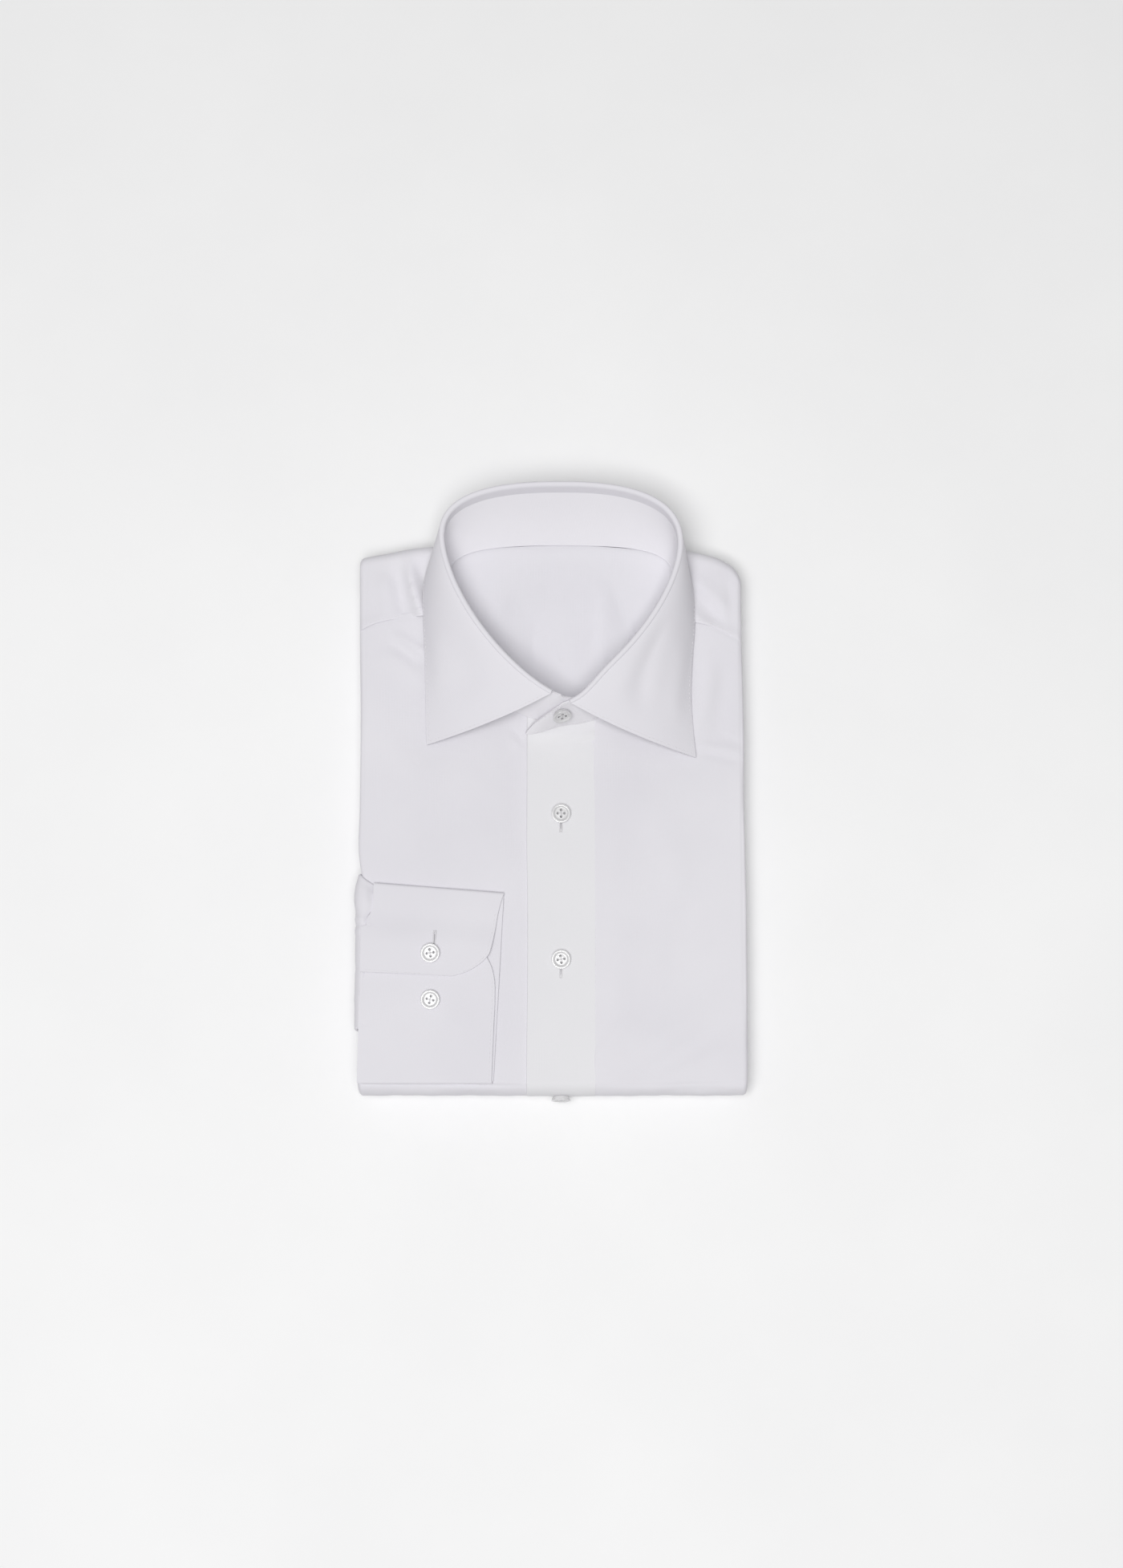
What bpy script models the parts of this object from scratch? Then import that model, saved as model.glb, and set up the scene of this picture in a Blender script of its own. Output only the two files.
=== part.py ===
"""A folded dress shirt lying on its back, collar standing, one cuff brought round to the front.

Lengths are millimetres, turned to metres where a mesh is made. +X is the wearer's left, +Y runs
towards the collar and +Z is up. The origin is on the floor, in the middle of the folded body.
"""

import math

import bmesh
import bpy
import numpy as np
from mathutils import Vector

MM = 0.001

# The folded stack: a thick leaf, doubled back under itself at the bottom fold
THICK = 26.0
LEAF = THICK / 2
FOLD_Y = -147.5
TAIL_Y = 146.0
NOMINAL_HALF_WIDTH = 115.0

# Cloth
WALL = 1.0
STIFF_WALL = 1.4
GAP = 0.3
CORE_GAP = 0.4

# Side folds of the fronts and yoke
ROLL = 2.75
RETURN_X = 99.0

# Middle lap: the band stands above the fronts, and the under front lies below it
CENTRE_X = 5.0
LIFT = 1.7
BAND_LEFT = -15.4
BAND_RIGHT = 25.2
UNDER_EDGE = 21.0

# Steps round the bottom fold, the same for every layer so that the layers stay parallel
FOLD_STEPS = 8
FRONT_STEPS = 9
BAND_STEPS = 7
UNDER_STEPS = 6
SIDE_STEPS = 6
YOKE_STEPS = {"front": 3, "fold": 6, "under": 1}

# Steps round a small folded edge and round one end of the sleeve's flat tube
EDGE_STEPS = 4
SLEEVE_END_STEPS = 3

# Where the layers' sheets have a row of points across the body
FRONT_RIGHT_X = (-106.0, -96.0, -78.0, -52.0, -26.0, -21.0)
UNDER_LAP_X = (-16.0, 4.0)
LAP_RAMP = ({"x": 27.5, "raised": 1.0}, {"x": 31.0, "raised": 0.5}, {"x": 36.0, "raised": 0.0})
FRONT_LEFT_X = (56.0, 78.0, 97.0, 106.0)
YOKE_X = (-106.0, -96.0, -92.0, -78.0, -70.0, -48.0, -20.0, 5.0, 30.0, 55.0, 78.0, 93.0, 97.0, 106.0)
BAND_TOP_Y = 70.0

# Shoulder fold and yoke
YOKE_ROLL = LEAF / 2
YOKE_UNDER = 12.0

# The back's inside: its sheet ends short of the shoulder fold, and its front end dips under the lap
BACK_X = (-66.0, -54.0, -42.0, -30.0, -18.0, -6.0, 6.0, 18.0, 30.0, 42.0, 54.0, 66.0, 74.0)
BACK_START_Y = 53.0
BACK_CLEAR = 1.2
BACK_STEPS = 10
BACK_DIP = {"from_y": 6.0, "to_y": 16.0, "half_width_from": 38.0, "half_width_to": 27.0}

# Hidden layers: where their top steps down under the lap and under the back
CORE_LAP = {"left_from": -25.0, "left_to": -17.0, "right_from": 23.5, "right_to": 36.0}
CORE_BACK = {
    "left_from": -80.0, "left_to": -70.0, "right_from": 78.0, "right_to": 88.0,
    "y_from": 40.0, "y_to": 50.0,
}
CORE_LAP_END = {"y_from": 60.0, "y_to": 74.0}
CORE_TOP_X = (
    -98.0, -88.0, -80.0, -70.0, -58.0, -46.0, -34.0, -25.0, -17.0,
    5.0, 23.5, 36.0, 47.0, 58.0, 68.0, 78.0, 88.0, 98.0,
)
CORE_FRONT_ROWS = (
    0.0, 0.02, 0.06, 0.1, 0.14, 0.18, 0.225, 0.27, 0.31, 0.345, 0.38, 0.5, 0.612, 0.82, 0.903,
)

# The layers' edges down each side: a slot for the front's return, two rounded edges and the mid crease
CORE_SIDE = (
    {"x": 98.4, "depth": 4.1},
    {"x": 98.4, "depth": 5.95},
    {"x": 108.0, "depth": 5.95},
    {"x": 112.2, "depth": 6.9},
    {"x": 110.6, "depth": 8.1},
    {"x": 111.8, "depth": 9.4},
    {"x": 109.2, "depth": 10.8},
    {"x": 104.0, "depth": 11.2},
    {"x": 102.0, "depth": 12.6},
)

# The hidden layers' rounded ends, and how they draw in under the yoke's turned edge
CORE_END_FAR = {"along": 0.97, "open": 0.24}
CORE_END_NEAR = {"along": 0.7, "open": 0.71}
CORE_TAIL = {"along": 1.6, "open": 0.7}
CORE_YOKE = {"from": 1.0, "to": 7.0, "inset": 5.6, "thinner": 1.05, "deepest": 12.6, "tongue_inset": 0.9}

# Neck hollow
BOWL_DEPTH = 8.0
BOWL_Y = 105.0
BOWL_HALF_WIDTH = 62.0
BOWL_FRONT = 46.0
BOWL_BACK = 62.0

# Buttons: 18 line
BUTTON_WIDTH = 11.4
BUTTON_THICK = 2.6
BUTTON_RIM = 1.4
BUTTON_DISH = 0.6
HOLE_WIDTH = 1.7
HOLE_SPACING = 4.0
HOLE_COUNT = 4
HOLE_SIDES = 8
BUTTON_SIDES = 20
FRONT_BUTTON_Y = 5.8
BUTTON_PITCH = 86.8

# How far the sides reach at a few heights on the body
SIDES = (
    {"y": -161.0, "left": 114.4, "right": 114.6},
    {"y": -140.0, "left": 115.0, "right": 115.1},
    {"y": -124.0, "left": 113.6, "right": 115.1},
    {"y": -30.0, "left": 113.6, "right": 115.0},
    {"y": -20.0, "left": 115.2, "right": 114.8},
    {"y": 10.0, "left": 115.2, "right": 114.4},
    {"y": 60.0, "left": 115.2, "right": 114.7},
    {"y": 110.0, "left": 116.2, "right": 113.8},
    {"y": 165.0, "left": 116.8, "right": 113.8},
)

# The shoulder fold's outermost line
SHOULDER = (
    {"x": -117.0, "y": 162.0},
    {"x": -92.0, "y": 167.5},
    {"x": -70.0, "y": 170.6},
    {"x": -50.0, "y": 174.5},
    {"x": -20.0, "y": 177.0},
    {"x": 30.0, "y": 177.0},
    {"x": 55.0, "y": 174.5},
    {"x": 78.0, "y": 169.2},
    {"x": 93.0, "y": 165.2},
    {"x": 105.0, "y": 161.0},
    {"x": 111.0, "y": 157.0},
    {"x": 115.0, "y": 151.0},
)

# The seam between yoke and fronts
YOKE_SEAM = (
    {"x": -115.0, "y": 117.2},
    {"x": -106.0, "y": 121.6},
    {"x": -96.0, "y": 124.2},
    {"x": -78.0, "y": 126.2},
    {"x": 5.0, "y": 127.0},
    {"x": 78.0, "y": 124.0},
    {"x": 97.0, "y": 119.8},
    {"x": 115.0, "y": 110.6},
)

# The leaf's roll: its clearance above the stand, its size at the ends and in full, and its fall
LEAF_SEAT = 1.15
LEAF_ROLL = {"rise": 1.2, "fuller_rise": 2.6, "radius": 0.95, "fuller_radius": 0.45}
LEAF_EASE = {"from": -12.0, "to": 40.0}
LEAF_FALL = {"across": 0.42, "down": 0.2, "across_behind": 0.1, "down_behind": 0.62}
LEAF_BEHIND = {"from": 0.3, "to": 0.9}
LEAF_STEPS = {"round": 34, "roll": 4, "fall": 6}

# How far the leaf's two front edges bow forward, and over how much of the turn
LEAF_BOW = 5.0
LEAF_BOW_TURN = 24.0

# Outer edge of the collar leaf, by the turn round the neck at which its cloth leaves the roll
LEAF_EDGE = (
    {"turn": 11.0, "x": 85.4, "y": 39.6, "z": 27.9},
    {"turn": 30.0, "x": 83.6, "y": 58.0, "z": 27.7},
    {"turn": 45.0, "x": 82.6, "y": 79.0, "z": 27.6},
    {"turn": 60.0, "x": 83.6, "y": 100.0, "z": 27.6},
    {"turn": 75.0, "x": 85.0, "y": 120.0, "z": 27.7},
    {"turn": 90.0, "x": 84.2, "y": 138.0, "z": 27.8},
    {"turn": 105.0, "x": 81.5, "y": 154.0, "z": 27.8},
    {"turn": 120.0, "x": 76.5, "y": 168.0, "z": 26.8},
    {"turn": 140.0, "x": 58.0, "y": 178.6, "z": 17.0},
    {"turn": 160.0, "x": 32.0, "y": 181.6, "z": 13.0},
    {"turn": 180.0, "x": 5.0, "y": 182.0, "z": 12.0},
    {"turn": 200.0, "x": -22.0, "y": 181.6, "z": 13.0},
    {"turn": 220.0, "x": -47.0, "y": 179.4, "z": 17.0},
    {"turn": 240.0, "x": -68.0, "y": 170.4, "z": 26.0},
    {"turn": 255.0, "x": -74.0, "y": 159.0, "z": 27.4},
    {"turn": 270.0, "x": -77.6, "y": 144.0, "z": 27.8},
    {"turn": 285.0, "x": -77.6, "y": 124.0, "z": 27.7},
    {"turn": 300.0, "x": -76.8, "y": 104.0, "z": 27.6},
    {"turn": 315.0, "x": -76.0, "y": 84.0, "z": 27.6},
    {"turn": 330.0, "x": -75.6, "y": 65.0, "z": 27.7},
    {"turn": 348.0, "x": -75.2, "y": 47.2, "z": 27.9},
)

# The cuff's four corners, and its winding from the overlap's free end to the underlap's
CUFF_CORNERS = {
    "seam_top": (-104.6, -36.0),
    "hand_top": (-29.0, -42.0),
    "seam_bottom": (-107.0, -153.4),
    "hand_bottom": (-34.8, -153.4),
}
CUFF_WINDING = (
    {"down": 0.450, "rise": 4.1, "reach": 0.600},
    {"down": 0.444, "rise": 4.1, "reach": 0.710},
    {"down": 0.428, "rise": 4.1, "reach": 0.775},
    {"down": 0.400, "rise": 4.1, "reach": 0.833},
    {"down": 0.360, "rise": 4.1, "reach": 0.880},
    {"down": 0.300, "rise": 4.1, "reach": 0.918},
    {"down": 0.200, "rise": 2.45, "reach": 0.947},
    {"down": 0.080, "rise": 2.4, "reach": 0.972},
    {"down": 0.012, "rise": 2.4, "reach": 0.996},
    {"down": 0.003, "rise": 2.1, "reach": 1.000},
    {"down": 0.000, "rise": 1.55, "reach": 1.000},
    {"down": 0.003, "rise": 1.0, "reach": 1.000},
    {"down": 0.012, "rise": 0.7, "reach": 1.000},
    {"down": 0.080, "rise": 0.7, "reach": 1.000},
    {"down": 0.200, "rise": 0.7, "reach": 1.000},
    {"down": 0.500, "rise": 0.7, "reach": 1.000},
    {"down": 0.750, "rise": 0.7, "reach": 1.000},
    {"down": 0.988, "rise": 0.7, "reach": 1.000},
    {"down": 0.997, "rise": 1.0, "reach": 0.995},
    {"down": 1.000, "rise": 1.55, "reach": 0.992},
    {"down": 0.997, "rise": 2.1, "reach": 0.988},
    {"down": 0.988, "rise": 2.4, "reach": 0.985},
    {"down": 0.800, "rise": 2.4, "reach": 0.980},
    {"down": 0.620, "rise": 2.4, "reach": 0.975},
    {"down": 0.480, "rise": 2.4, "reach": 0.955},
    {"down": 0.400, "rise": 2.4, "reach": 0.935},
    {"down": 0.340, "rise": 2.4, "reach": 0.910},
    {"down": 0.300, "rise": 2.4, "reach": 0.850},
)
CUFF_REST = 0.4
CUFF_COLUMNS = 7
CUFF_BUTTONS = ({"x": -72.1, "y": -77.5, "rise": 4.1}, {"x": -72.0, "y": -104.8, "rise": 2.4})
CUFF_STEP = {"from": 0.08, "to": 0.20, "reach": 0.066, "clearance": 0.024}

# The sleeve round the left edge: its middle line in x and z, and its own width along y
SLEEVE_THICK = 2.7
SLEEVE_FLAT_STEPS = 7
SLEEVE_PATH = (
    {"x": -105.1, "z": 27.80, "top": -37.5, "bottom": -119.0, "follow": 1.0},
    {"x": -108.6, "z": 27.95, "top": -35.5, "bottom": -119.6, "follow": 0.58},
    {"x": -111.8, "z": 27.80, "top": -33.5, "bottom": -120.4, "follow": 0.22},
    {"x": -113.9, "z": 26.90, "top": -32.0, "bottom": -121.0, "follow": 0.03},
    {"x": -115.3, "z": 25.10, "top": -31.0, "bottom": -121.6, "follow": 0.0},
    {"x": -115.8, "z": 22.80, "top": -30.4, "bottom": -122.0, "follow": 0.0},
    {"x": -115.8, "z": 19.40, "top": -30.0, "bottom": -122.2, "follow": 0.0},
    {"x": -115.6, "z": 16.00, "top": -29.6, "bottom": -122.2, "follow": 0.0},
    {"x": -114.7, "z": 14.00, "top": -29.4, "bottom": -122.2, "follow": 0.0},
    {"x": -113.0, "z": 13.10, "top": -29.2, "bottom": -122.0, "follow": 0.0},
    {"x": -110.8, "z": 13.00, "top": -29.0, "bottom": -121.8, "follow": 0.0},
    {"x": -104.8, "z": 13.00, "top": -28.8, "bottom": -121.6, "follow": 0.0},
)

# The two rings that the collar stand runs between. Each side of the neck is widest at its own y.
STAND_FOOT = {
    "front_y": 61.5, "left_y": 150.0, "right_y": 150.0, "back_y": 170.3, "half_width": 68.0,
    "front_curve": 1.9, "front_round": 2.2, "back_square": 3.0,
    "front_z": 28.7, "back_z": 27.0, "ease_from": 0.07, "ease_to": 0.3,
}
STAND_TOP = {
    "front_y": 74.0, "left_y": 163.0, "right_y": 168.0, "back_y": 197.0, "half_width": 69.6,
    "front_curve": 1.6, "front_round": 1.3, "back_square": 2.5,
    "front_z": 49.0, "back_z": 48.5, "ease_from": 0.0, "ease_to": 1.0,
}
STAND_LEVELS = 5

# The stand's lapping end: it stands off, slides forward at the foot, leans, and tapers to its end
LAP_START = -16.0
LAP_END = 376.0
LAP_STAND_OFF = {"from": 18.0, "to": 36.0}
LAP_SLIDE = {"y": -10.0, "z": 0.5, "from": -20.0, "to": 4.0, "less_at_top": 0.7}
LAP_LEAN = {"y": -3.4, "z": -1.2, "from": 14.0, "to": 44.0}
LAP_TAPER = {"from": 14.0, "loss": 0.82, "power": 4.0}
UNDERLAP_LOSS = 0.3
STAND_BUTTON = {"share": 0.64, "seat": 0.75, "half_turn": 5.0, "half_share": 0.2}
STAND_TURNS = {"fine_step": 4.0, "fine": 11, "coarse_to": 332.0, "coarse": 24, "last": 8}

# The neckline's cutter: just inside the stand's foot
NECK_CUT = {"middle_y": 115.0, "inside": 0.985, "bottom_z": 21.0, "height": 20.0, "sides": 36}


def clear_scene():
    for obj in list(bpy.data.objects):
        bpy.data.objects.remove(obj, do_unlink=True)


def new_collection(name):
    collection = bpy.data.collections.new(name)
    bpy.context.scene.collection.children.link(collection)
    return collection


def new_material(name, colour, roughness):
    material = bpy.data.materials.new(name)
    material.use_nodes = True
    shader = material.node_tree.nodes["Principled BSDF"]
    shader.inputs["Base Color"].default_value = (*colour, 1.0)
    shader.inputs["Roughness"].default_value = roughness
    shader.inputs["Metallic"].default_value = 0.0
    material.diffuse_color = (*colour, 1.0)
    return material


def add_object(name, mesh, collection, material):
    obj = bpy.data.objects.new(name, mesh)
    collection.objects.link(obj)
    if not mesh.materials:
        mesh.materials.append(material)
    return obj


def at(table, key, column, value):
    """The table's column, read between its rows in order of key."""
    rows = sorted(table, key=lambda row: row[key])
    return float(np.interp(value, [row[key] for row in rows], [row[column] for row in rows]))


def eased(value, start, end):
    """0 at start, 1 at end, level at both."""
    share = min(max((value - start) / (end - start), 0.0), 1.0)
    return share * share * (3 - 2 * share)


def grid_form(columns, rows, point_at, turned_over):
    """A grid whose point in each column and row is given by point_at, in millimetres."""
    form = bmesh.new()
    bmesh.ops.create_grid(form, x_segments=columns - 1, y_segments=rows - 1, size=1.0)
    for vert in form.verts:
        column = round((vert.co.x + 1) / 2 * (columns - 1))
        row = round((vert.co.y + 1) / 2 * (rows - 1))
        vert.co = Vector(point_at(column, row)) * MM
    if turned_over:
        bmesh.ops.reverse_faces(form, faces=form.faces)
    return form


def finished_mesh(name, form):
    mesh = bpy.data.meshes.new(name)
    form.to_mesh(mesh)
    form.free()
    mesh.shade_smooth()
    mesh.set_sharp_from_angle(angle=math.radians(50))
    return mesh


def add_cloth(name, form, wall, offset, collection, material):
    """A sheet thickened to a wall: offset -1 keeps the sheet outside, 0 in the middle."""
    obj = add_object(name, finished_mesh(name, form), collection, material)
    solidify = obj.modifiers.new("Wall", "SOLIDIFY")
    solidify.thickness = wall * MM
    solidify.offset = offset
    solidify.use_even_offset = True
    solidify.use_quality_normals = True
    return obj


def widened(x, y):
    """x moved so that the nominal side lands where the real side is at this y."""
    side = "left" if x < 0 else "right"
    return x * at(SIDES, "y", side, y) / NOMINAL_HALF_WIDTH


def lift_share(row):
    """1 on the front, 0 underneath, where the middle lap is sunk and the rest face is flat."""
    if row <= 1:
        return 1.0
    if row >= 2:
        return 0.0
    return ((1 + math.cos(math.pi * (row - 1))) / 2) ** 2


def stack_point(x, depth, row, start_y, end_y):
    """A point at this depth under the stack's surface.

    Rows 0 to 1 run down the front, 1 to 2 round the bottom fold and 2 to 3 back underneath.
    """
    if row <= 1:
        y = start_y + row * (FOLD_Y - start_y)
        z = THICK - depth
    elif row < 2:
        turn = math.pi * (row - 1)
        y = FOLD_Y - (LEAF - depth) * math.sin(turn)
        z = LEAF + (LEAF - depth) * math.cos(turn)
    else:
        y = FOLD_Y + (row - 2) * (end_y - FOLD_Y)
        z = depth
    return (widened(x, y), y, z)


def side_fold(side, return_x):
    """The fold at one side as (x, depth), from the free edge of its return out to the front."""
    middle = NOMINAL_HALF_WIDTH - ROLL
    section = [(side * return_x, 2 * ROLL)] if return_x < middle else []
    for step in range(SIDE_STEPS + 1):
        angle = math.pi * step / SIDE_STEPS
        section.append((side * (middle + ROLL * math.sin(angle)), ROLL + ROLL * math.cos(angle)))
    return section


def shoulder_axis(x):
    """The line about which the yoke turns over the shoulder."""
    return at(SHOULDER, "x", "y", x) - YOKE_ROLL


def bowl(x, y):
    """How far the neck hollow sinks the layers under it."""
    half_length = BOWL_BACK if y > BOWL_Y else BOWL_FRONT
    away = ((x - CENTRE_X) / BOWL_HALF_WIDTH) ** 2 + ((y - BOWL_Y) / half_length) ** 2
    return BOWL_DEPTH * max(0.0, 1 - away)


def fold_rows(top, fold, under):
    """Row values with this many steps down the front, round the fold and underneath."""
    rows = [step / top for step in range(top)]
    rows += [1 + step / fold for step in range(fold)]
    return rows + [2 + step / under for step in range(under + 1)]


def build_front_right(collection, material):
    section = side_fold(-1, RETURN_X)
    section += [(x, 0.0) for x in FRONT_RIGHT_X]
    under_lap = len(section)
    section += [(x, 0.0) for x in UNDER_LAP_X + (UNDER_EDGE,)]
    rows = fold_rows(FRONT_STEPS, FOLD_STEPS, UNDER_STEPS)

    def point(column, index):
        x, depth = section[column]
        if column >= under_lap:
            depth = 2 * (WALL + GAP) - LIFT * lift_share(rows[index])
        start_y = at(YOKE_SEAM, "x", "y", x) - GAP / 2
        return stack_point(x, depth, rows[index], start_y, TAIL_Y)

    form = grid_form(len(section), len(rows), point, True)
    return add_cloth("front_right", form, WALL, -1, collection, material)


def build_front_left(collection, material):
    ramp = [(BAND_RIGHT + GAP, 1.0)] + [(row["x"], row["raised"]) for row in LAP_RAMP]
    section = ramp + [(x, 0.0) for x in FRONT_LEFT_X]
    section += list(reversed(side_fold(1, RETURN_X)))
    rows = fold_rows(FRONT_STEPS, FOLD_STEPS, UNDER_STEPS)

    def point(column, index):
        x, depth = section[column]
        if column < len(ramp):
            depth = -LIFT * lift_share(rows[index]) * depth
        start_y = at(YOKE_SEAM, "x", "y", x) - GAP / 2
        return stack_point(x, depth, rows[index], start_y, TAIL_Y)

    form = grid_form(len(section), len(rows), point, True)
    return add_cloth("front_left", form, WALL, -1, collection, material)


def build_front_band(collection, material):
    """The band is one strip, folded double along its free edge."""
    roll = WALL + GAP / 2
    middle = BAND_LEFT + roll
    section = [(BAND_RIGHT, 2 * roll), (CENTRE_X, 2 * roll)]
    for step in range(EDGE_STEPS + 1):
        angle = math.pi * step / EDGE_STEPS
        section.append((middle - roll * math.sin(angle), roll + roll * math.cos(angle)))
    section += [(CENTRE_X, 0.0), (BAND_RIGHT, 0.0)]
    rows = fold_rows(BAND_STEPS, FOLD_STEPS, UNDER_STEPS)

    def point(column, index):
        x, depth = section[column]
        depth -= LIFT * lift_share(rows[index])
        return stack_point(x, depth, rows[index], BAND_TOP_Y, TAIL_Y)

    form = grid_form(len(section), len(rows), point, True)
    return add_cloth("front_band", form, WALL, -1, collection, material)


def yoke_point(x, depth, row, start_y):
    """Rows 0 to 1 run up to the shoulder, 1 to 2 round its fold and 2 to 3 back underneath."""
    axis = shoulder_axis(x)
    if row <= 1:
        y = start_y + row * (axis - start_y)
        z = THICK - depth
    elif row < 2:
        turn = math.pi * (row - 1)
        y = axis + (YOKE_ROLL - depth) * math.sin(turn)
        z = THICK - YOKE_ROLL + (YOKE_ROLL - depth) * math.cos(turn)
    else:
        y = axis - (row - 2) * YOKE_UNDER
        z = THICK - 2 * YOKE_ROLL + depth
    return (widened(x, y), y, z)


def build_yoke(collection, material):
    section = side_fold(-1, NOMINAL_HALF_WIDTH)
    section += [(x, 0.0) for x in YOKE_X]
    section += list(reversed(side_fold(1, NOMINAL_HALF_WIDTH)))
    rows = fold_rows(YOKE_STEPS["front"], YOKE_STEPS["fold"], YOKE_STEPS["under"])

    def point(column, index):
        x, depth = section[column]
        start_y = at(YOKE_SEAM, "x", "y", x) + GAP / 2
        return yoke_point(x, depth, rows[index], start_y)

    form = grid_form(len(section), len(rows), point, False)
    return add_cloth("yoke", form, WALL, -1, collection, material)


def build_back(collection, material):
    """The back's inside, sunk under the neck opening."""

    def point(column, row):
        x = BACK_X[column]
        y = BACK_START_Y + row / BACK_STEPS * (shoulder_axis(x) - BACK_CLEAR - BACK_START_Y)
        dip = 1 - eased(y - BACK_START_Y, BACK_DIP["from_y"], BACK_DIP["to_y"])
        dip *= eased(-abs(x), -BACK_DIP["half_width_from"], -BACK_DIP["half_width_to"])
        lap = (2 * (WALL + GAP) - LIFT) * dip
        return (x, y, THICK - WALL - GAP - lap - bowl(x, y))

    form = grid_form(len(BACK_X), BACK_STEPS + 1, point, False)
    return add_cloth("back", form, WALL, -1, collection, material)


def core_depth(x, y, row):
    """How deep the hidden layers' top lies: under the cloth, the middle lap and the back."""
    cover = WALL + CORE_GAP
    lap = eased(x, CORE_LAP["left_from"], CORE_LAP["left_to"])
    lap *= 1 - eased(x, CORE_LAP["right_from"], CORE_LAP["right_to"])
    cover += lap * (2 * (WALL + GAP) - LIFT * lift_share(row))
    if row > 1:
        return cover
    over_back = eased(x, CORE_BACK["left_from"], CORE_BACK["left_to"])
    over_back *= 1 - eased(x, CORE_BACK["right_from"], CORE_BACK["right_to"])
    over_back *= eased(y, CORE_BACK["y_from"], CORE_BACK["y_to"])
    back_cover = 2 * WALL + GAP + 3 * CORE_GAP + bowl(x, y)
    lap_under_back = lap * (2 * (WALL + GAP) - LIFT)
    lap_under_back *= 1 - eased(y, CORE_LAP_END["y_from"], CORE_LAP_END["y_to"])
    return max(cover, over_back * (back_cover + lap_under_back))


def core_section():
    """The hidden layers' section as (x, depth): top, then down the right side, then the left.

    Each side holds the tongue inside the front's fold, a slot for the fold's return, and
    two rounded layer edges above the crease at mid thickness.
    """
    tongue = ROLL - WALL - CORE_GAP
    middle = NOMINAL_HALF_WIDTH - ROLL
    side = []
    for step in range(EDGE_STEPS + 1):
        angle = math.pi * step / EDGE_STEPS
        side.append((middle + tongue * math.sin(angle), ROLL - tongue * math.cos(angle)))
    side += [(row["x"], row["depth"]) for row in CORE_SIDE]
    section = [(x, None) for x in CORE_TOP_X] + side
    return section + [(-x, depth) for x, depth in reversed(side)]


def build_folded_layers(collection, material):
    """All the hidden cloth as one rounded solid that follows the bottom fold."""
    section = core_section()
    top = YOKE_ROLL - WALL - 1.5 * CORE_GAP
    ends = [CORE_END_FAR, CORE_END_NEAR]
    rows = list(CORE_FRONT_ROWS) + fold_rows(1, FOLD_STEPS, UNDER_STEPS)[1:]
    count = len(ends) + len(rows) + 1

    def point(column, index):
        x, depth = section[column]
        row = rows[min(max(index - len(ends), 0), len(rows) - 1)]
        start_y = shoulder_axis(x)
        y = stack_point(x, 0, row, start_y, TAIL_Y)[1]
        if depth is None:
            depth = core_depth(x, y, row)
        past_yoke = start_y - y - YOKE_UNDER
        near_yoke = 1 - eased(past_yoke, CORE_YOKE["from"], CORE_YOKE["to"]) if row < 1 else 0.0
        if depth > 2 * ROLL:
            x -= math.copysign(CORE_YOKE["inset"] * near_yoke, x)
            depth = min(depth, CORE_YOKE["deepest"] - CORE_YOKE["thinner"] * near_yoke)
        if index <= len(ends) and depth < 2 * ROLL and abs(x) > NOMINAL_HALF_WIDTH - ROLL - 1:
            x -= math.copysign(CORE_YOKE["tongue_inset"], x)
        if index < len(ends):
            end = ends[index]
            depth = LEAF / 2 + (depth - LEAF / 2) * end["open"]
            start_y += top * end["along"]
        if index >= len(ends) + len(rows):
            depth = LEAF / 2 + (depth - LEAF / 2) * CORE_TAIL["open"]
            return stack_point(x, depth, row, start_y, TAIL_Y + CORE_TAIL["along"])
        return stack_point(x, depth, row, start_y, TAIL_Y)

    columns = len(section) + 1
    form = grid_form(columns, count, lambda c, r: point(c % len(section), r), True)
    bmesh.ops.remove_doubles(form, verts=form.verts, dist=0.001 * MM)
    bmesh.ops.holes_fill(form, edges=form.edges, sides=0)
    bmesh.ops.triangulate(form, faces=[face for face in form.faces if len(face.verts) > 4])
    bmesh.ops.recalc_face_normals(form, faces=form.faces)
    return add_object("folded_layers", finished_mesh("folded_layers", form), collection, material)


def neck_ring(turn, ring):
    """A point of a ring round the neck: turn 0 at the front, 90 at the wearer's left, 180 behind."""
    side = 1 if turn % 360 < 180 else -1
    wide_y = ring["left_y"] if side > 0 else ring["right_y"]
    angle = math.radians(turn % 360 if side > 0 else 360 - turn % 360)
    if angle <= math.pi / 2:
        ahead = math.cos(angle)
        spread = (1 - ahead ** ring["front_curve"]) ** (1 / ring["front_round"])
        y = wide_y - ahead * (wide_y - ring["front_y"])
    else:
        spread = math.sin(angle) ** (2 / ring["back_square"])
        rear = abs(math.cos(angle)) ** (2 / ring["back_square"])
        y = wide_y + rear * (ring["back_y"] - wide_y)
    share = eased((1 - math.cos(angle)) / 2, ring["ease_from"], ring["ease_to"])
    z = ring["front_z"] + (ring["back_z"] - ring["front_z"]) * share
    return Vector((CENTRE_X + side * ring["half_width"] * spread, y, z))


def outward(turn, ring):
    """The level direction that points out of the ring."""
    along = neck_ring(turn + 2, ring) - neck_ring(turn - 2, ring)
    return Vector((along.y, -along.x, 0)).normalized()


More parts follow.
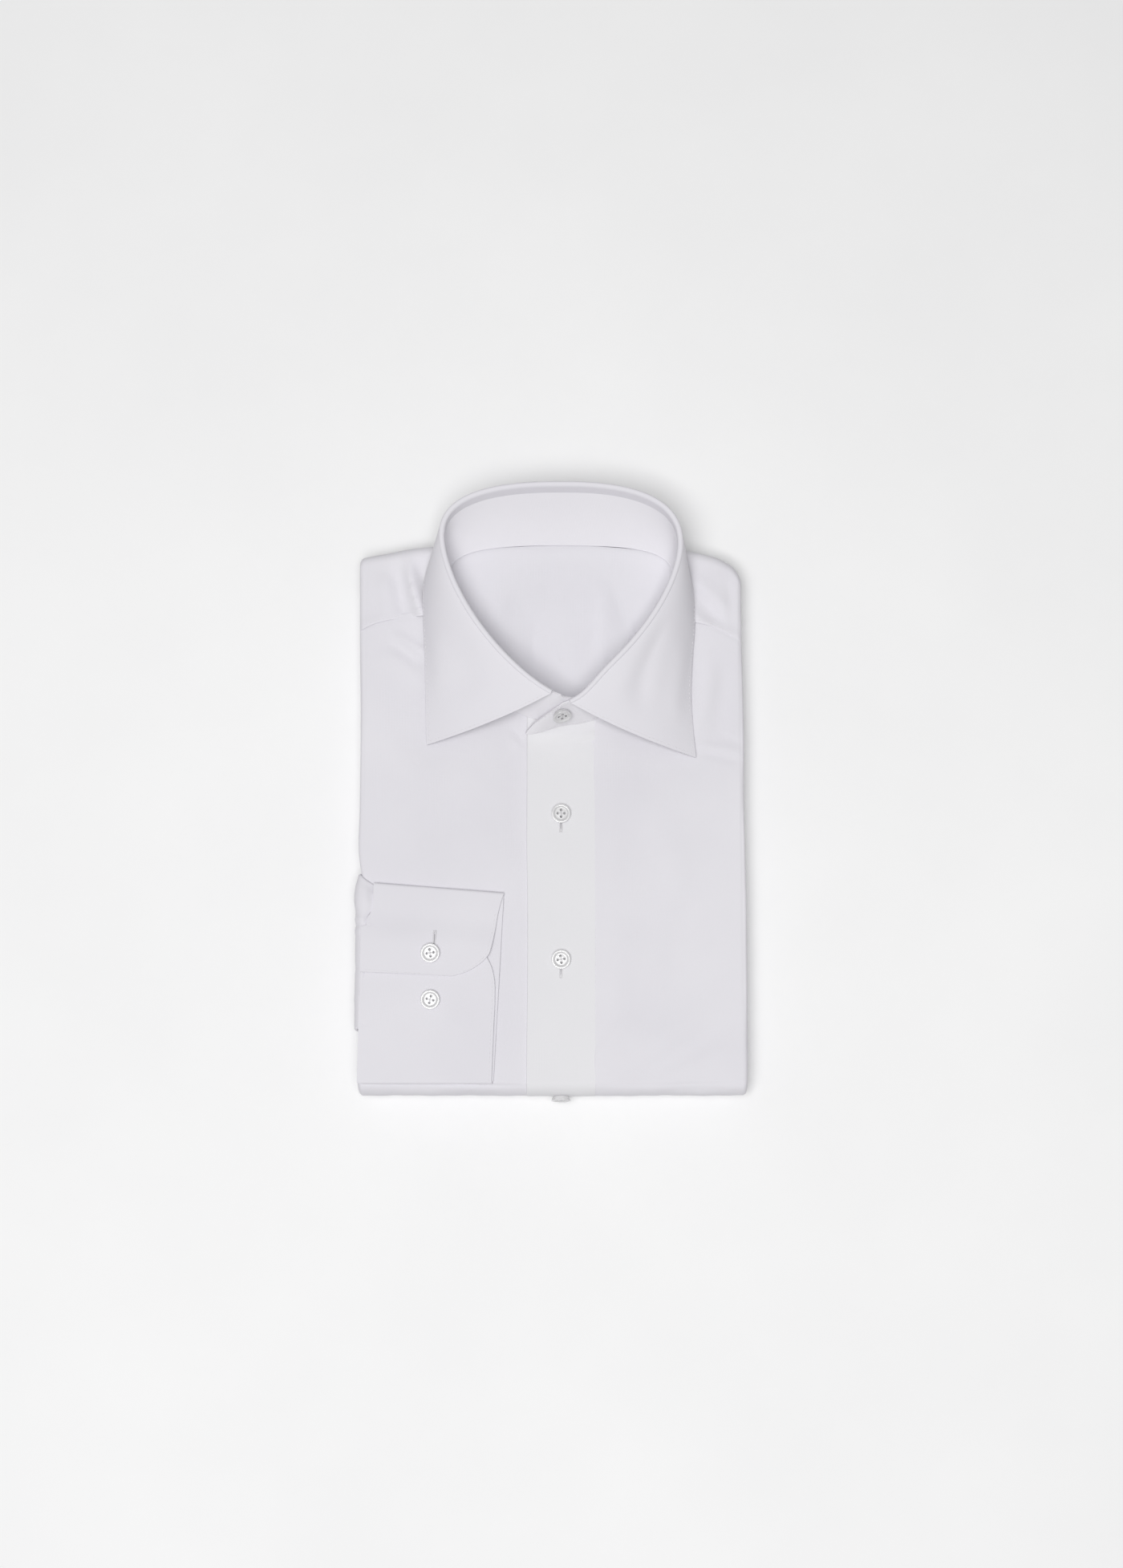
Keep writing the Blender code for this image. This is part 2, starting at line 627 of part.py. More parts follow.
def lap_offset(turn, share):
    """How far the lapping end stands off the end under it, and slips forward as it rises."""
    near = 1 - eased(turn, LAP_STAND_OFF["from"], LAP_STAND_OFF["to"])
    slide = 1 - eased(turn, LAP_SLIDE["from"], LAP_SLIDE["to"])
    slide *= 1 - LAP_SLIDE["less_at_top"] * share
    lean = share * (1 - eased(turn, LAP_LEAN["from"], LAP_LEAN["to"]))
    offset = outward(turn, STAND_FOOT) * (STIFF_WALL + GAP) * near
    offset += Vector((0, LAP_SLIDE["y"], LAP_SLIDE["z"])) * slide
    return offset + Vector((0, LAP_LEAN["y"], LAP_LEAN["z"])) * lean


def stand_turns():
    fine_end = LAP_START + STAND_TURNS["fine_step"] * STAND_TURNS["fine"]
    coarse_end = STAND_TURNS["coarse_to"]
    coarse, last = STAND_TURNS["coarse"], STAND_TURNS["last"]
    turns = [LAP_START + STAND_TURNS["fine_step"] * step for step in range(STAND_TURNS["fine"])]
    turns += [fine_end + (coarse_end - fine_end) * step / coarse for step in range(coarse)]
    return turns + [coarse_end + (LAP_END - coarse_end) * step / last for step in range(last + 1)]


def stand_point(turn, share):
    """The stand's middle surface: share 0 at its foot, 1 at its full height."""
    foot = neck_ring(turn, STAND_FOOT)
    return foot.lerp(neck_ring(turn, STAND_TOP), share) + lap_offset(turn, share)


def build_collar_stand(collection, material):
    """The stand is one strip round the neck: its far end laps over its near end, 1.7 mm outside."""
    turns = stand_turns()

    def point(column, row):
        turn = turns[column]
        height = 1.0
        if turn < LAP_TAPER["from"]:
            taper = (LAP_TAPER["from"] - turn) / (LAP_TAPER["from"] - LAP_START)
            height = 1 - LAP_TAPER["loss"] * taper ** LAP_TAPER["power"]
        if turn > 360:
            height = 1 - UNDERLAP_LOSS * (turn - 360) / (LAP_END - 360)
        return stand_point(turn, height * row / (STAND_LEVELS - 1))

    form = grid_form(len(turns), STAND_LEVELS, point, False)
    return add_cloth("collar_stand", form, STIFF_WALL, 0, collection, material)


def leaf_section(turn, start_turn, end_turn):
    """Points across the leaf at this turn: up from the stand, over the roll and out to the edge."""
    top = neck_ring(turn, STAND_TOP)
    out = outward(turn, STAND_TOP)
    from_end = min(turn - start_turn, end_turn - turn)
    fullness = eased(from_end, LEAF_EASE["from"], LEAF_EASE["to"])
    rise = LEAF_ROLL["rise"] + LEAF_ROLL["fuller_rise"] * fullness
    roll = LEAF_ROLL["radius"] + LEAF_ROLL["fuller_radius"] * fullness
    top = top + lap_offset(turn, 1.0)
    foot = top + Vector((0, 0, LEAF_SEAT))
    centre = foot + Vector((0, 0, rise)) + out * roll
    section = [foot]
    for step in range(LEAF_STEPS["roll"] + 1):
        angle = math.pi * step / LEAF_STEPS["roll"]
        section.append(centre - out * roll * math.cos(angle) + Vector((0, 0, roll * math.sin(angle))))
    begin = section[-1]
    edge = Vector([at(LEAF_EDGE, "turn", axis, turn) for axis in "xyz"])
    behind = eased((1 - math.cos(math.radians(turn))) / 2, LEAF_BEHIND["from"], LEAF_BEHIND["to"])
    across = LEAF_FALL["across"] + (LEAF_FALL["across_behind"] - LEAF_FALL["across"]) * behind
    down = LEAF_FALL["down"] + (LEAF_FALL["down_behind"] - LEAF_FALL["down"]) * behind
    reach = edge - begin
    bend = begin + Vector((reach.x * across, reach.y * across, reach.z * down))
    bend.y -= LEAF_BOW * (1 - eased(from_end, 0, LEAF_BOW_TURN))
    for step in range(1, LEAF_STEPS["fall"] + 1):
        share = step / LEAF_STEPS["fall"]
        curve = begin * (1 - share) ** 2 + bend * 2 * share * (1 - share) + edge * share**2
        section.append(curve)
    return section


def build_collar_leaf(collection, material):
    start_turn = LEAF_EDGE[0]["turn"]
    end_turn = LEAF_EDGE[-1]["turn"]
    steps = LEAF_STEPS["round"]
    turns = [start_turn + (end_turn - start_turn) * step / steps for step in range(steps + 1)]
    sections = [leaf_section(turn, start_turn, end_turn) for turn in turns]
    form = grid_form(len(turns), len(sections[0]), lambda c, r: sections[c][r], False)
    return add_cloth("collar_leaf", form, STIFF_WALL, 0, collection, material)


def cuff_start(down):
    """Where the cuff begins across itself: past a short step it reaches on to the body's edge."""
    share = (down - CUFF_STEP["from"]) / (CUFF_STEP["to"] - CUFF_STEP["from"])
    return -CUFF_STEP["reach"] * min(max(share, 0.0), 1.0)


def cuff_point(across, down, height):
    corners = {name: Vector(place) for name, place in CUFF_CORNERS.items()}
    top = corners["seam_top"].lerp(corners["hand_top"], across)
    bottom = corners["seam_bottom"].lerp(corners["hand_bottom"], across)
    place = top.lerp(bottom, down)
    return (place.x, place.y, THICK + CUFF_REST + height)


def build_cuff(collection, material):

    def point(column, row):
        winding = CUFF_WINDING[row]
        start = cuff_start(winding["down"])
        across = start + (winding["reach"] - start) * column / (CUFF_COLUMNS - 1)
        return cuff_point(across, winding["down"], winding["rise"])

    form = grid_form(CUFF_COLUMNS, len(CUFF_WINDING), point, False)
    return add_cloth("cuff_right", form, STIFF_WALL, 0, collection, material)


def build_sleeve(collection, material):
    """A flattened tube swept round the body's edge, open at both ends."""
    radius = SLEEVE_THICK / 2
    path = [Vector((station["x"], 0, station["z"])) for station in SLEEVE_PATH]
    ring = []
    for end in (0, 1):
        for step in range(SLEEVE_END_STEPS + 1):
            angle = math.pi * (end + step / SLEEVE_END_STEPS)
            ring.append((end, radius * math.sin(angle), radius * math.cos(angle)))
        for step in range(1, SLEEVE_FLAT_STEPS):
            ring.append((end + step / SLEEVE_FLAT_STEPS, 0.0, -radius if end == 0 else radius))

    def point(column, row):
        share, beyond, off = ring[column % len(ring)]
        station = SLEEVE_PATH[row]
        before = path[max(row - 1, 0)]
        after = path[min(row + 1, len(path) - 1)]
        along = (after - before).normalized()
        normal = Vector((along.z, 0, -along.x))
        share = share if share <= 1 else 2 - share
        y = station["top"] - radius + (station["bottom"] - station["top"] + 2 * radius) * share + beyond
        place = path[row] + normal * off
        top_y = CUFF_CORNERS["seam_top"][1]
        down = (top_y - y) / (top_y - CUFF_CORNERS["seam_bottom"][1])
        step = cuff_start(down + CUFF_STEP["clearance"])
        lean = cuff_point(step, down, 0)[0] - CUFF_CORNERS["seam_top"][0]
        return (place.x + lean * station["follow"], y, place.z)

    form = grid_form(len(ring) + 1, len(SLEEVE_PATH), point, False)
    bmesh.ops.remove_doubles(form, verts=form.verts, dist=0.001 * MM)
    return add_cloth("sleeve_right", form, WALL, -1, collection, material)


def button_mesh(cutters, material):
    """A turned four-hole button lying on its back, with its underside at z = 0."""
    half = BUTTON_WIDTH / 2
    profile = (
        (0.0, BUTTON_THICK - BUTTON_DISH),
        (half - BUTTON_RIM - 0.6, BUTTON_THICK - BUTTON_DISH),
        (half - BUTTON_RIM, BUTTON_THICK),
        (half - 0.6, BUTTON_THICK),
        (half, BUTTON_THICK - 0.8),
        (half - 0.9, 0.0),
        (0.0, 0.0),
    )
    mesh = bpy.data.meshes.new("button_form")
    points = [(x * MM, 0.0, z * MM) for x, z in profile]
    mesh.from_pydata(points, [(i, i + 1) for i in range(len(points) - 1)], [])
    form = bpy.data.objects.new("button_form", mesh)
    cutters.objects.link(form)
    screw = form.modifiers.new("Turn", "SCREW")
    screw.steps = BUTTON_SIDES
    screw.render_steps = BUTTON_SIDES
    screw.use_merge_vertices = True
    screw.merge_threshold = 0.00001
    for index in range(HOLE_COUNT):
        angle = 2 * math.pi * index / HOLE_COUNT
        bpy.ops.mesh.primitive_cylinder_add(
            vertices=HOLE_SIDES,
            radius=HOLE_WIDTH / 2 * MM,
            depth=3 * BUTTON_THICK * MM,
            location=(HOLE_SPACING / 2 * MM * math.cos(angle), HOLE_SPACING / 2 * MM * math.sin(angle), 0),
            rotation=(0, 0, math.pi / HOLE_SIDES),
        )
        hole = bpy.context.object
        hole.name = f"hole_{index + 1}"
        hide_cutter(hole, cutters)
        cut = form.modifiers.new(hole.name, "BOOLEAN")
        cut.operation = "DIFFERENCE"
        cut.object = hole
    bpy.context.view_layer.update()
    evaluated = form.evaluated_get(bpy.context.evaluated_depsgraph_get())
    button = bpy.data.meshes.new_from_object(evaluated)
    button.name = "button"
    button.materials.clear()
    button.materials.append(material)
    button.shade_smooth()
    button.set_sharp_from_angle(angle=math.radians(30))
    bpy.data.objects.remove(form)
    return button


def hide_cutter(obj, cutters):
    for collection in list(obj.users_collection):
        collection.objects.unlink(obj)
    cutters.objects.link(obj)
    obj.hide_render = True
    obj.display_type = "WIRE"


def place_button(name, mesh, seat, facing, collection, material):
    """Sets a button on seat, its underside just clear of it, facing along a direction."""
    facing = Vector(facing).normalized()
    obj = add_object(name, mesh, collection, material)
    turn = Vector((0, 0, 1)).rotation_difference(facing)
    obj.rotation_mode = "QUATERNION"
    obj.rotation_quaternion = turn
    obj.location = (Vector(seat) + facing * GAP) * MM
    return obj


def build_buttons(cutters, collection, material):
    mesh = button_mesh(cutters, material)
    band_top = THICK + LIFT
    for index in range(2):
        seat = (CENTRE_X, FRONT_BUTTON_Y - BUTTON_PITCH * index, band_top)
        place_button(f"button_front_{index + 1}", mesh, seat, (0, 0, 1), collection, material)
    place_button("button_fold", mesh, *fold_seat(), collection, material)
    for index, row in enumerate(CUFF_BUTTONS):
        cuff_top = THICK + CUFF_REST + row["rise"] + STIFF_WALL / 2
        seat = (row["x"], row["y"], cuff_top)
        place_button(f"button_cuff_{index + 1}", mesh, seat, (0, 0, 1), collection, material)
    place_button("button_collar", mesh, *stand_seat(), collection, material)


def fold_seat():
    """Where the third button sits on the band, most of the way round the bottom fold."""
    third_y = FRONT_BUTTON_Y - 2 * BUTTON_PITCH
    turn = (FOLD_Y - third_y) / (LEAF + LIFT / 2)
    row = 1 + turn / math.pi
    radius = LEAF + LIFT * lift_share(row)
    facing = (0.0, -math.sin(turn), math.cos(turn))
    return (CENTRE_X, FOLD_Y + radius * facing[1], LEAF + radius * facing[2]), facing


def stand_seat():
    """The middle of the stand's lapped end, and the way it faces."""
    share = STAND_BUTTON["share"]
    half_turn, half_share = STAND_BUTTON["half_turn"], STAND_BUTTON["half_share"]
    across = stand_point(half_turn, share) - stand_point(-half_turn, share)
    up = stand_point(0, share + half_share) - stand_point(0, share - half_share)
    facing = across.cross(up).normalized()
    return stand_point(0, share) + facing * (STIFF_WALL / 2 + STAND_BUTTON["seat"]), facing


def build_neck_cutter(cutters):
    """A prism through the neckline, just inside the stand's foot."""
    middle = Vector((CENTRE_X, NECK_CUT["middle_y"], 0))
    step_turn = 360 / NECK_CUT["sides"]
    form = bmesh.new()
    verts = []
    for step in range(NECK_CUT["sides"]):
        place = neck_ring(step_turn * (step + 0.5), STAND_FOOT)
        place.z = 0
        place = middle + (place - middle) * NECK_CUT["inside"]
        verts.append(form.verts.new((place.x * MM, place.y * MM, NECK_CUT["bottom_z"] * MM)))
    floor = form.faces.new(verts)
    raised = bmesh.ops.extrude_face_region(form, geom=[floor])["geom"]
    lifted = [item for item in raised if isinstance(item, bmesh.types.BMVert)]
    bmesh.ops.translate(form, verts=lifted, vec=(0, 0, NECK_CUT["height"] * MM))
    bmesh.ops.recalc_face_normals(form, faces=form.faces)
    mesh = bpy.data.meshes.new("neck_cutter")
    form.to_mesh(mesh)
    form.free()
    cutter = bpy.data.objects.new("neck_cutter", mesh)
    hide_cutter(cutter, cutters)
    return cutter


def cut_neck(obj, cutter):
    cut = obj.modifiers.new("Neck", "BOOLEAN")
    cut.operation = "DIFFERENCE"
    cut.object = cutter


def main():
    clear_scene()
    shirt = new_collection("folded_dress_shirt")
    cutters = new_collection("cutters")
    cutters.hide_render = True
    cloth = new_material("shirt_cloth", (0.80, 0.79, 0.82), 0.85)
    inside = new_material("inside_cloth", (0.76, 0.75, 0.79), 0.88)
    collar = new_material("collar_cloth", (0.82, 0.81, 0.84), 0.82)
    pearl = new_material("button_resin", (0.86, 0.85, 0.85), 0.3)
    cutter = build_neck_cutter(cutters)
    for build in (build_front_right, build_front_left, build_front_band, build_yoke):
        cut_neck(build(shirt, cloth), cutter)
    build_back(shirt, inside)
    build_folded_layers(shirt, inside)
    build_collar_stand(shirt, collar)
    build_collar_leaf(shirt, collar)
    build_sleeve(shirt, cloth)
    build_cuff(shirt, cloth)
    build_buttons(cutters, shirt, pearl)


main()
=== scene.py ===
import math

import bpy
import numpy as np
from mathutils import Matrix, Vector


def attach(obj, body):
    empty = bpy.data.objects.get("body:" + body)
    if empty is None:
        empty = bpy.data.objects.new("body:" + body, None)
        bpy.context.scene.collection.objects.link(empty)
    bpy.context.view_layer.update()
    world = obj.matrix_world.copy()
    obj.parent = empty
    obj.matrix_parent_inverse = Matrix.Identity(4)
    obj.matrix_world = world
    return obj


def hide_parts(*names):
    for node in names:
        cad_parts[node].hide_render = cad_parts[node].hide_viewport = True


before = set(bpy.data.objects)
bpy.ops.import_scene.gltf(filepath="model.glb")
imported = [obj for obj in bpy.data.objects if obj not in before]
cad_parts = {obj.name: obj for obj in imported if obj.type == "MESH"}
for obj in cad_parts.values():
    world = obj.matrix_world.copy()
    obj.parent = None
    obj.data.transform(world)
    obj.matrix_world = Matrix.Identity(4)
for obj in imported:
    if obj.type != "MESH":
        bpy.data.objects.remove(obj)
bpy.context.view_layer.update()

mm = 0.001


def table(columns, *rows):  # rows of values under named columns
    return [dict(zip(columns.split(), row)) for row in rows]


# The folded stack, in millimetres: a thick leaf doubled back under itself at the bottom fold
stack = {
    "thick": 26.0, "leaf": 13.0, "foldY": -147.5, "tailY": 146.0, "halfWidth": 115.0,
    "roll": 2.75, "returnX": 99.0, "centreX": 5.0, "lift": 1.7, "cloth": 0.5, "foldFlat": 4.4,
    "hiddenColumns": 7, "sideSoft": 2.2,
}

# How far the sides reach at a few heights on the body
sides = table(
    "y left right",
    (-161, 114.4, 114.6), (-140, 115, 115.1), (-124, 113.7, 115.1), (-30, 113.7, 115), (-20, 115.2, 114.8),
    (10, 115.2, 114.4), (60, 115.2, 114.7), (110, 116.2, 113.8), (165, 116.8, 113.8),
)

# The shoulder fold's outermost line
shoulder = table(
    "x y",
    (-117, 162), (-92, 167.5), (-70, 170.6), (-50, 174.5), (-20, 177), (30, 177), (55, 174.5), (78, 169.2),
    (93, 165.2), (105, 161), (111, 157), (115, 151),
)

# The seam between yoke and fronts
yokeSeam = table(
    "x y",
    (-115, 117.2), (-106, 121.6), (-96, 124.2), (-78, 126.2), (5, 127), (78, 124), (97, 119.8),
    (115, 110.6),
)


# Small helpers for shapes

def eased(value, start, end):  # 0 at start, 1 at end, level at both
    share = np.clip((np.asarray(value, float) - start) / (end - start), 0.0, 1.0)
    return share * share * (3 - 2 * share)


def smoothAt(places, key, column, values):  # a smooth line through the places
    rows = sorted(places, key=lambda row: row[key])
    keys = np.array([row[key] for row in rows], float)
    found = np.array([row[column] for row in rows], float)
    slopes = np.gradient(found, keys)
    values = np.clip(np.asarray(values, float), keys[0], keys[-1])
    index = np.clip(np.searchsorted(keys, values) - 1, 0, len(keys) - 2)
    step = keys[index + 1] - keys[index]
    t = (values - keys[index]) / step
    start = (2 * t**3 - 3 * t**2 + 1) * found[index] + (t**3 - 2 * t**2 + t) * step * slopes[index]
    end = (3 * t**2 - 2 * t**3) * found[index + 1] + (t**3 - t**2) * step * slopes[index + 1]
    return start + end


def spaced(*spans):  # each span is its first and last value and how many there are
    return np.concatenate([np.linspace(*span) for span in spans])


def unit(vectors):
    return vectors / np.maximum(np.linalg.norm(vectors, axis=-1, keepdims=True), 1e-9)


creasePlan = {"strength": 1.7, "fadeIn": (-0.12, 0.3), "fadeOut": (0.7, 1.12)}
creaseColumns = "fromX fromY toX toY width height lean bow"


def creased(points, creases):
    # Soft ridges (height above 0) and troughs. Each runs between two places, may bow, and fades at its ends.
    x, y = points[..., 0], points[..., 1]
    height = np.zeros(x.shape)
    for crease in creases:
        reachX, reachY = crease["toX"] - crease["fromX"], crease["toY"] - crease["fromY"]
        length = math.hypot(reachX, reachY)
        along = ((x - crease["fromX"]) * reachX + (y - crease["fromY"]) * reachY) / length**2
        across = ((x - crease["fromX"]) * reachY - (y - crease["fromY"]) * reachX) / length
        inside = np.clip(along, 0, 1)
        across = across - 4 * crease.get("bow", 0) * inside * (1 - inside)
        width = crease["width"] * (1 + crease.get("lean", 0) * np.tanh(across / crease["width"]))
        fade = eased(along, *creasePlan["fadeIn"]) * (1 - eased(along, *creasePlan["fadeOut"]))
        height += creasePlan["strength"] * crease["height"] * np.exp(-((across / width) ** 2)) * fade
    return height


def unevenness(points, size, height, seed):
    # Slow waves over the cloth, so that no panel is quite flat
    draw = np.random.default_rng(seed)
    x, y = points[..., 0], points[..., 1]
    total = np.zeros(x.shape)
    for _ in range(9):
        angle = draw.uniform(0, math.pi)
        wave = 2 * math.pi / (size * draw.uniform(0.6, 1.7))
        phase = draw.uniform(0, 2 * math.pi)
        total = total + np.sin((x * math.cos(angle) + y * math.sin(angle)) * wave + phase)
    return total * height / 2.4


def lengthsAlong(points, axis):
    steps = np.linalg.norm(np.diff(points, axis=axis), axis=2)
    total = np.cumsum(steps, axis=axis)
    first = np.zeros_like(np.take(total, [0], axis=axis))
    return np.concatenate([first, total], axis=axis)


def linked(name, mesh):
    piece = bpy.data.objects.new(name, mesh)
    bpy.context.collection.objects.link(piece)
    return piece


def meshPiece(name, points, faces):  # points in millimetres
    mesh = bpy.data.meshes.new(name)
    mesh.from_pydata((points.reshape(-1, 3) * mm).tolist(), [], faces)
    return linked(name, mesh)


def clothPiece(name, points, wall, facing, offset=-1.0, closed=False):
    # points are rows by columns by xyz; facing names a cell of them and the way its outside looks
    rows, columns = points.shape[:2]
    row, column, way = facing
    across = points[row, column + 1] - points[row, column]
    down = points[row + 1, column] - points[row, column]
    order = [0, 1, 2, 3] if np.dot(np.cross(across, down), way) > 0 else [3, 2, 1, 0]
    index = np.arange(rows * columns).reshape(rows, columns)
    corners = [index[:-1, :-1], index[:-1, 1:], index[1:, 1:], index[1:, :-1]]
    faces = np.stack([corners[i] for i in order], axis=-1).reshape(-1, 4)
    piece = meshPiece(name, points, faces.tolist())
    mesh = piece.data
    u, v = lengthsAlong(points, 1), lengthsAlong(points, 0)
    u = u - u[:, columns // 2][:, None]
    v = v - v[rows // 3][None, :]
    flat = np.stack([u, v], axis=-1).reshape(-1, 2) * mm
    mesh.uv_layers.new(name="cloth")
    loops = np.zeros(len(mesh.loops), np.int32)
    mesh.loops.foreach_get("vertex_index", loops)
    mesh.uv_layers["cloth"].data.foreach_set("uv", flat[loops].ravel().astype(np.float32))
    if closed:
        weld = piece.modifiers.new("Weld", "WELD")
        weld.merge_threshold = 0.01 * mm
    if wall:
        shell = piece.modifiers.new("Wall", "SOLIDIFY")
        shell.thickness = wall * mm
        shell.offset = offset
        shell.use_even_offset = True
        shell.use_quality_normals = True
    return piece


def selected(*pieces):  # selects just these, the first one active
    bpy.ops.object.select_all(action="DESELECT")
    for piece in pieces:
        piece.select_set(True)
    bpy.context.view_layer.objects.active = pieces[0]
    return pieces[0]


def applyAll(piece):
    selected(piece)
    for modifier in list(piece.modifiers):
        bpy.ops.object.modifier_apply(modifier=modifier.name)
    return piece


def smoothShaded(piece, degrees=50):
    selected(piece)
    bpy.ops.object.shade_smooth_by_angle(angle=math.radians(degrees))
    return piece


def joined(pieces, name):
    whole = selected(*pieces)
    bpy.ops.object.join()
    whole.name = whole.data.name = name
    return whole


def finished(piece, material, replaced=()):
    piece.data.materials.clear()
    piece.data.materials.append(material)
    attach(piece, "root")
    if replaced:
        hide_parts(*replaced)
    return piece


def finishedSheet(piece, material, node):
    # Applies the sheet's modifiers, shades it smooth, gives it its material and hides the part it stands for
    smoothShaded(applyAll(piece))
    finished(piece, material, [node])


# Finishes

def feed(tree, node, inputs):  # gives each input a constant or a link from another node's output
    for name, value in inputs.items():
        if isinstance(value, bpy.types.NodeSocket):
            tree.links.new(value, node.inputs[name])
        else:
            node.inputs[name].default_value = value


def nodeIn(tree, kind, inputs, **values):
    node = tree.nodes.new("ShaderNode" + kind)
    for key, value in values.items():
        setattr(node, key, value)
    feed(tree, node, inputs)
    return node.outputs.get("Fac", node.outputs[0])


def noiseIn(tree, place, **inputs):
    return nodeIn(tree, "TexNoise", {"Vector": place, **inputs})


def wavesIn(tree, place, bands, **inputs):
    return nodeIn(tree, "TexWave", {"Vector": place, **inputs}, wave_type="BANDS", bands_direction=bands)


def bumpIn(tree, height, strength, depth, **inputs):
    return nodeIn(tree, "Bump", {"Strength": strength, "Distance": depth * mm, "Height": height, **inputs})


def rampIn(tree, share, places, colours):
    ramp = tree.nodes.new("ShaderNodeValToRGB")
    tree.links.new(share, ramp.inputs["Fac"])
    for element, place, colour in zip(ramp.color_ramp.elements, places, colours):
        element.position = place
        element.color = (*colour, 1.0)
    return ramp.outputs["Color"]


def newMaterial(name):
    material = bpy.data.materials.new(name)
    material.use_nodes = True
    tree = material.node_tree
    place = tree.nodes.new("ShaderNodeTexCoord").outputs
    return material, tree, tree.nodes["Principled BSDF"], place


weave = {
    "scale": math.pi / (20 * 0.34 * mm), "distortion": 1.2, "strength": 0.5, "depth": 0.05,
    "slubs": 900.0, "slubStretch": (1.0, 0.12, 1.0), "puckers": 70.0, "puckerDepth": 0.3,
    "tones": 14.0, "tonePlaces": (0.32, 0.68),
}


def shirting(name, colour, deeper, roughness, pucker):
    # A plain weave that follows the cloth's own thread lines, with slubs and a slow change of tone
    material, tree, shader, place = newMaterial(name)
    warp, weft = (
        wavesIn(tree, place["UV"], bands, Scale=weave["scale"], Distortion=weave["distortion"], Detail=1.0)
        for bands in "XY"
    )
    crossing = nodeIn(tree, "Math", {0: warp, 1: weft}, operation="MULTIPLY")
    stretch = nodeIn(tree, "Mapping", {"Vector": place["UV"], "Scale": weave["slubStretch"]})
    slubs = noiseIn(tree, stretch, Scale=weave["slubs"], Detail=3.0)
    total = nodeIn(tree, "Math", {0: crossing, 1: slubs}, operation="ADD")
    fine = bumpIn(tree, total, weave["strength"], weave["depth"])
    puckers = noiseIn(tree, place["Object"], Scale=weave["puckers"], Detail=4.0)
    tone = noiseIn(tree, place["Object"], Scale=weave["tones"], Detail=5.0)
    feed(tree, shader, {
        "Normal": bumpIn(tree, puckers, pucker, weave["puckerDepth"], Normal=fine),
        "Base Color": rampIn(tree, tone, weave["tonePlaces"], (deeper, colour)),
        "Roughness": roughness, "Sheen Weight": 0.12, "Sheen Roughness": 0.4, "Specular IOR Level": 0.3,
    })
    return material


def twistedThread(name, colour):
    material, tree, shader, place = newMaterial(name)
    twist = wavesIn(tree, place["Object"], "DIAGONAL", Scale=1600.0)
    # The twist's grooves are painted darker, as painted shade, by the same waves that raise the bump
    deeper = [value * 0.86 for value in colour]
    feed(tree, shader, {
        "Normal": bumpIn(tree, twist, 0.4, 0.05), "Base Color": rampIn(tree, twist, (0, 1), (deeper, colour)),
        "Roughness": 0.55, "Sheen Weight": 0.2,
    })
    return material


def pearlResin(name, colour, deeper):
    material, tree, shader, place = newMaterial(name)
    cloud = noiseIn(tree, place["Object"], Scale=260.0, Detail=4.0, Distortion=1.4)
    feed(tree, shader, {
        "Base Color": rampIn(tree, cloud, (0.3, 0.7), (deeper, colour)),
        "Roughness": 0.22, "Coat Weight": 0.5, "Coat Roughness": 0.12,
    })
    return material


shirtCloth = shirting("shirtPoplin", (0.775, 0.762, 0.800), (0.742, 0.728, 0.772), 0.86, 0.16)
bandCloth = shirting("bandPoplin", (0.790, 0.785, 0.805), (0.770, 0.764, 0.788), 0.84, 0.08)
# The same poplin a little darker: painted shade for the inside seen through the neck and the hidden layers
insideCloth = shirting("insidePoplin", (0.755, 0.745, 0.780), (0.735, 0.724, 0.764), 0.88, 0.16)
# Lighter than the other poplins, partly for the stand's interlining and partly as painted light on its inner
# face
standCloth = shirting("standPoplin", (0.845, 0.832, 0.866), (0.825, 0.811, 0.848), 0.84, 0.08)
collarCloth = shirting("collarPoplin", (0.780, 0.766, 0.806), (0.762, 0.747, 0.792), 0.84, 0.08)
sewingThread = twistedThread("sewingThread", (0.80, 0.79, 0.81))
slitShade = twistedThread("slitShade", (0.22, 0.21, 0.24))
buttonResin = pearlResin("buttonResin", (0.74, 0.735, 0.742), (0.64, 0.635, 0.645))
# A dark copy of the button resin: painted shade for the walls of the button's holes
paintedHoleShade = pearlResin("paintedHoleShade", (0.30, 0.295, 0.305), (0.22, 0.215, 0.225))
print("Finishes ready")


# Stage, camera and light

cameraPlan = {
    "aim": (5.27, 23.95, 26.0), "tilt": 8.0, "distance": 1500.0, "pixelSize": 0.479, "longSide": 1955,
    "sensor": 36.0,
}
lightPlan = {
    "key": {"at": (-0.24, -0.48, 2.7), "size": 1.4, "watts": 56.5},
    "fill": {"at": (0.3, 1.4, 2.4), "size": 1.6, "watts": 1.5},
    "world": 0.272,
}


def setStage():
    tilt = math.radians(cameraPlan["tilt"])
    aim = Vector(cameraPlan["aim"]) * mm
    away = Vector((0, -math.sin(tilt), math.cos(tilt))) * cameraPlan["distance"] * mm
    bpy.ops.object.camera_add(location=aim + away, rotation=(tilt, 0, 0))
    camera = bpy.context.object
    camera.name = "shirtCamera"
    camera.data.sensor_width = cameraPlan["sensor"]
    focal = cameraPlan["distance"] / cameraPlan["pixelSize"]
    camera.data.lens = cameraPlan["sensor"] * focal / cameraPlan["longSide"]
    bpy.context.scene.camera = camera
    for name in ("key", "fill"):
        plan = lightPlan[name]
        bpy.ops.object.light_add(type="AREA", location=plan["at"])
        lamp = bpy.context.object
        lamp.name = name + "Light"
        lamp.data.size = plan["size"]
        lamp.data.energy = plan["watts"]
        lamp.rotation_euler = (-Vector(plan["at"])).to_track_quat("-Z", "Y").to_euler()
    world = bpy.data.worlds.new("studio")
    world.use_nodes = True
    background = world.node_tree.nodes["Background"]
    feed(world.node_tree, background, {"Color": (1.0, 1.0, 1.0, 1.0), "Strength": lightPlan["world"]})
    bpy.context.scene.world = world
    bpy.context.scene.view_settings.view_transform = "Standard"


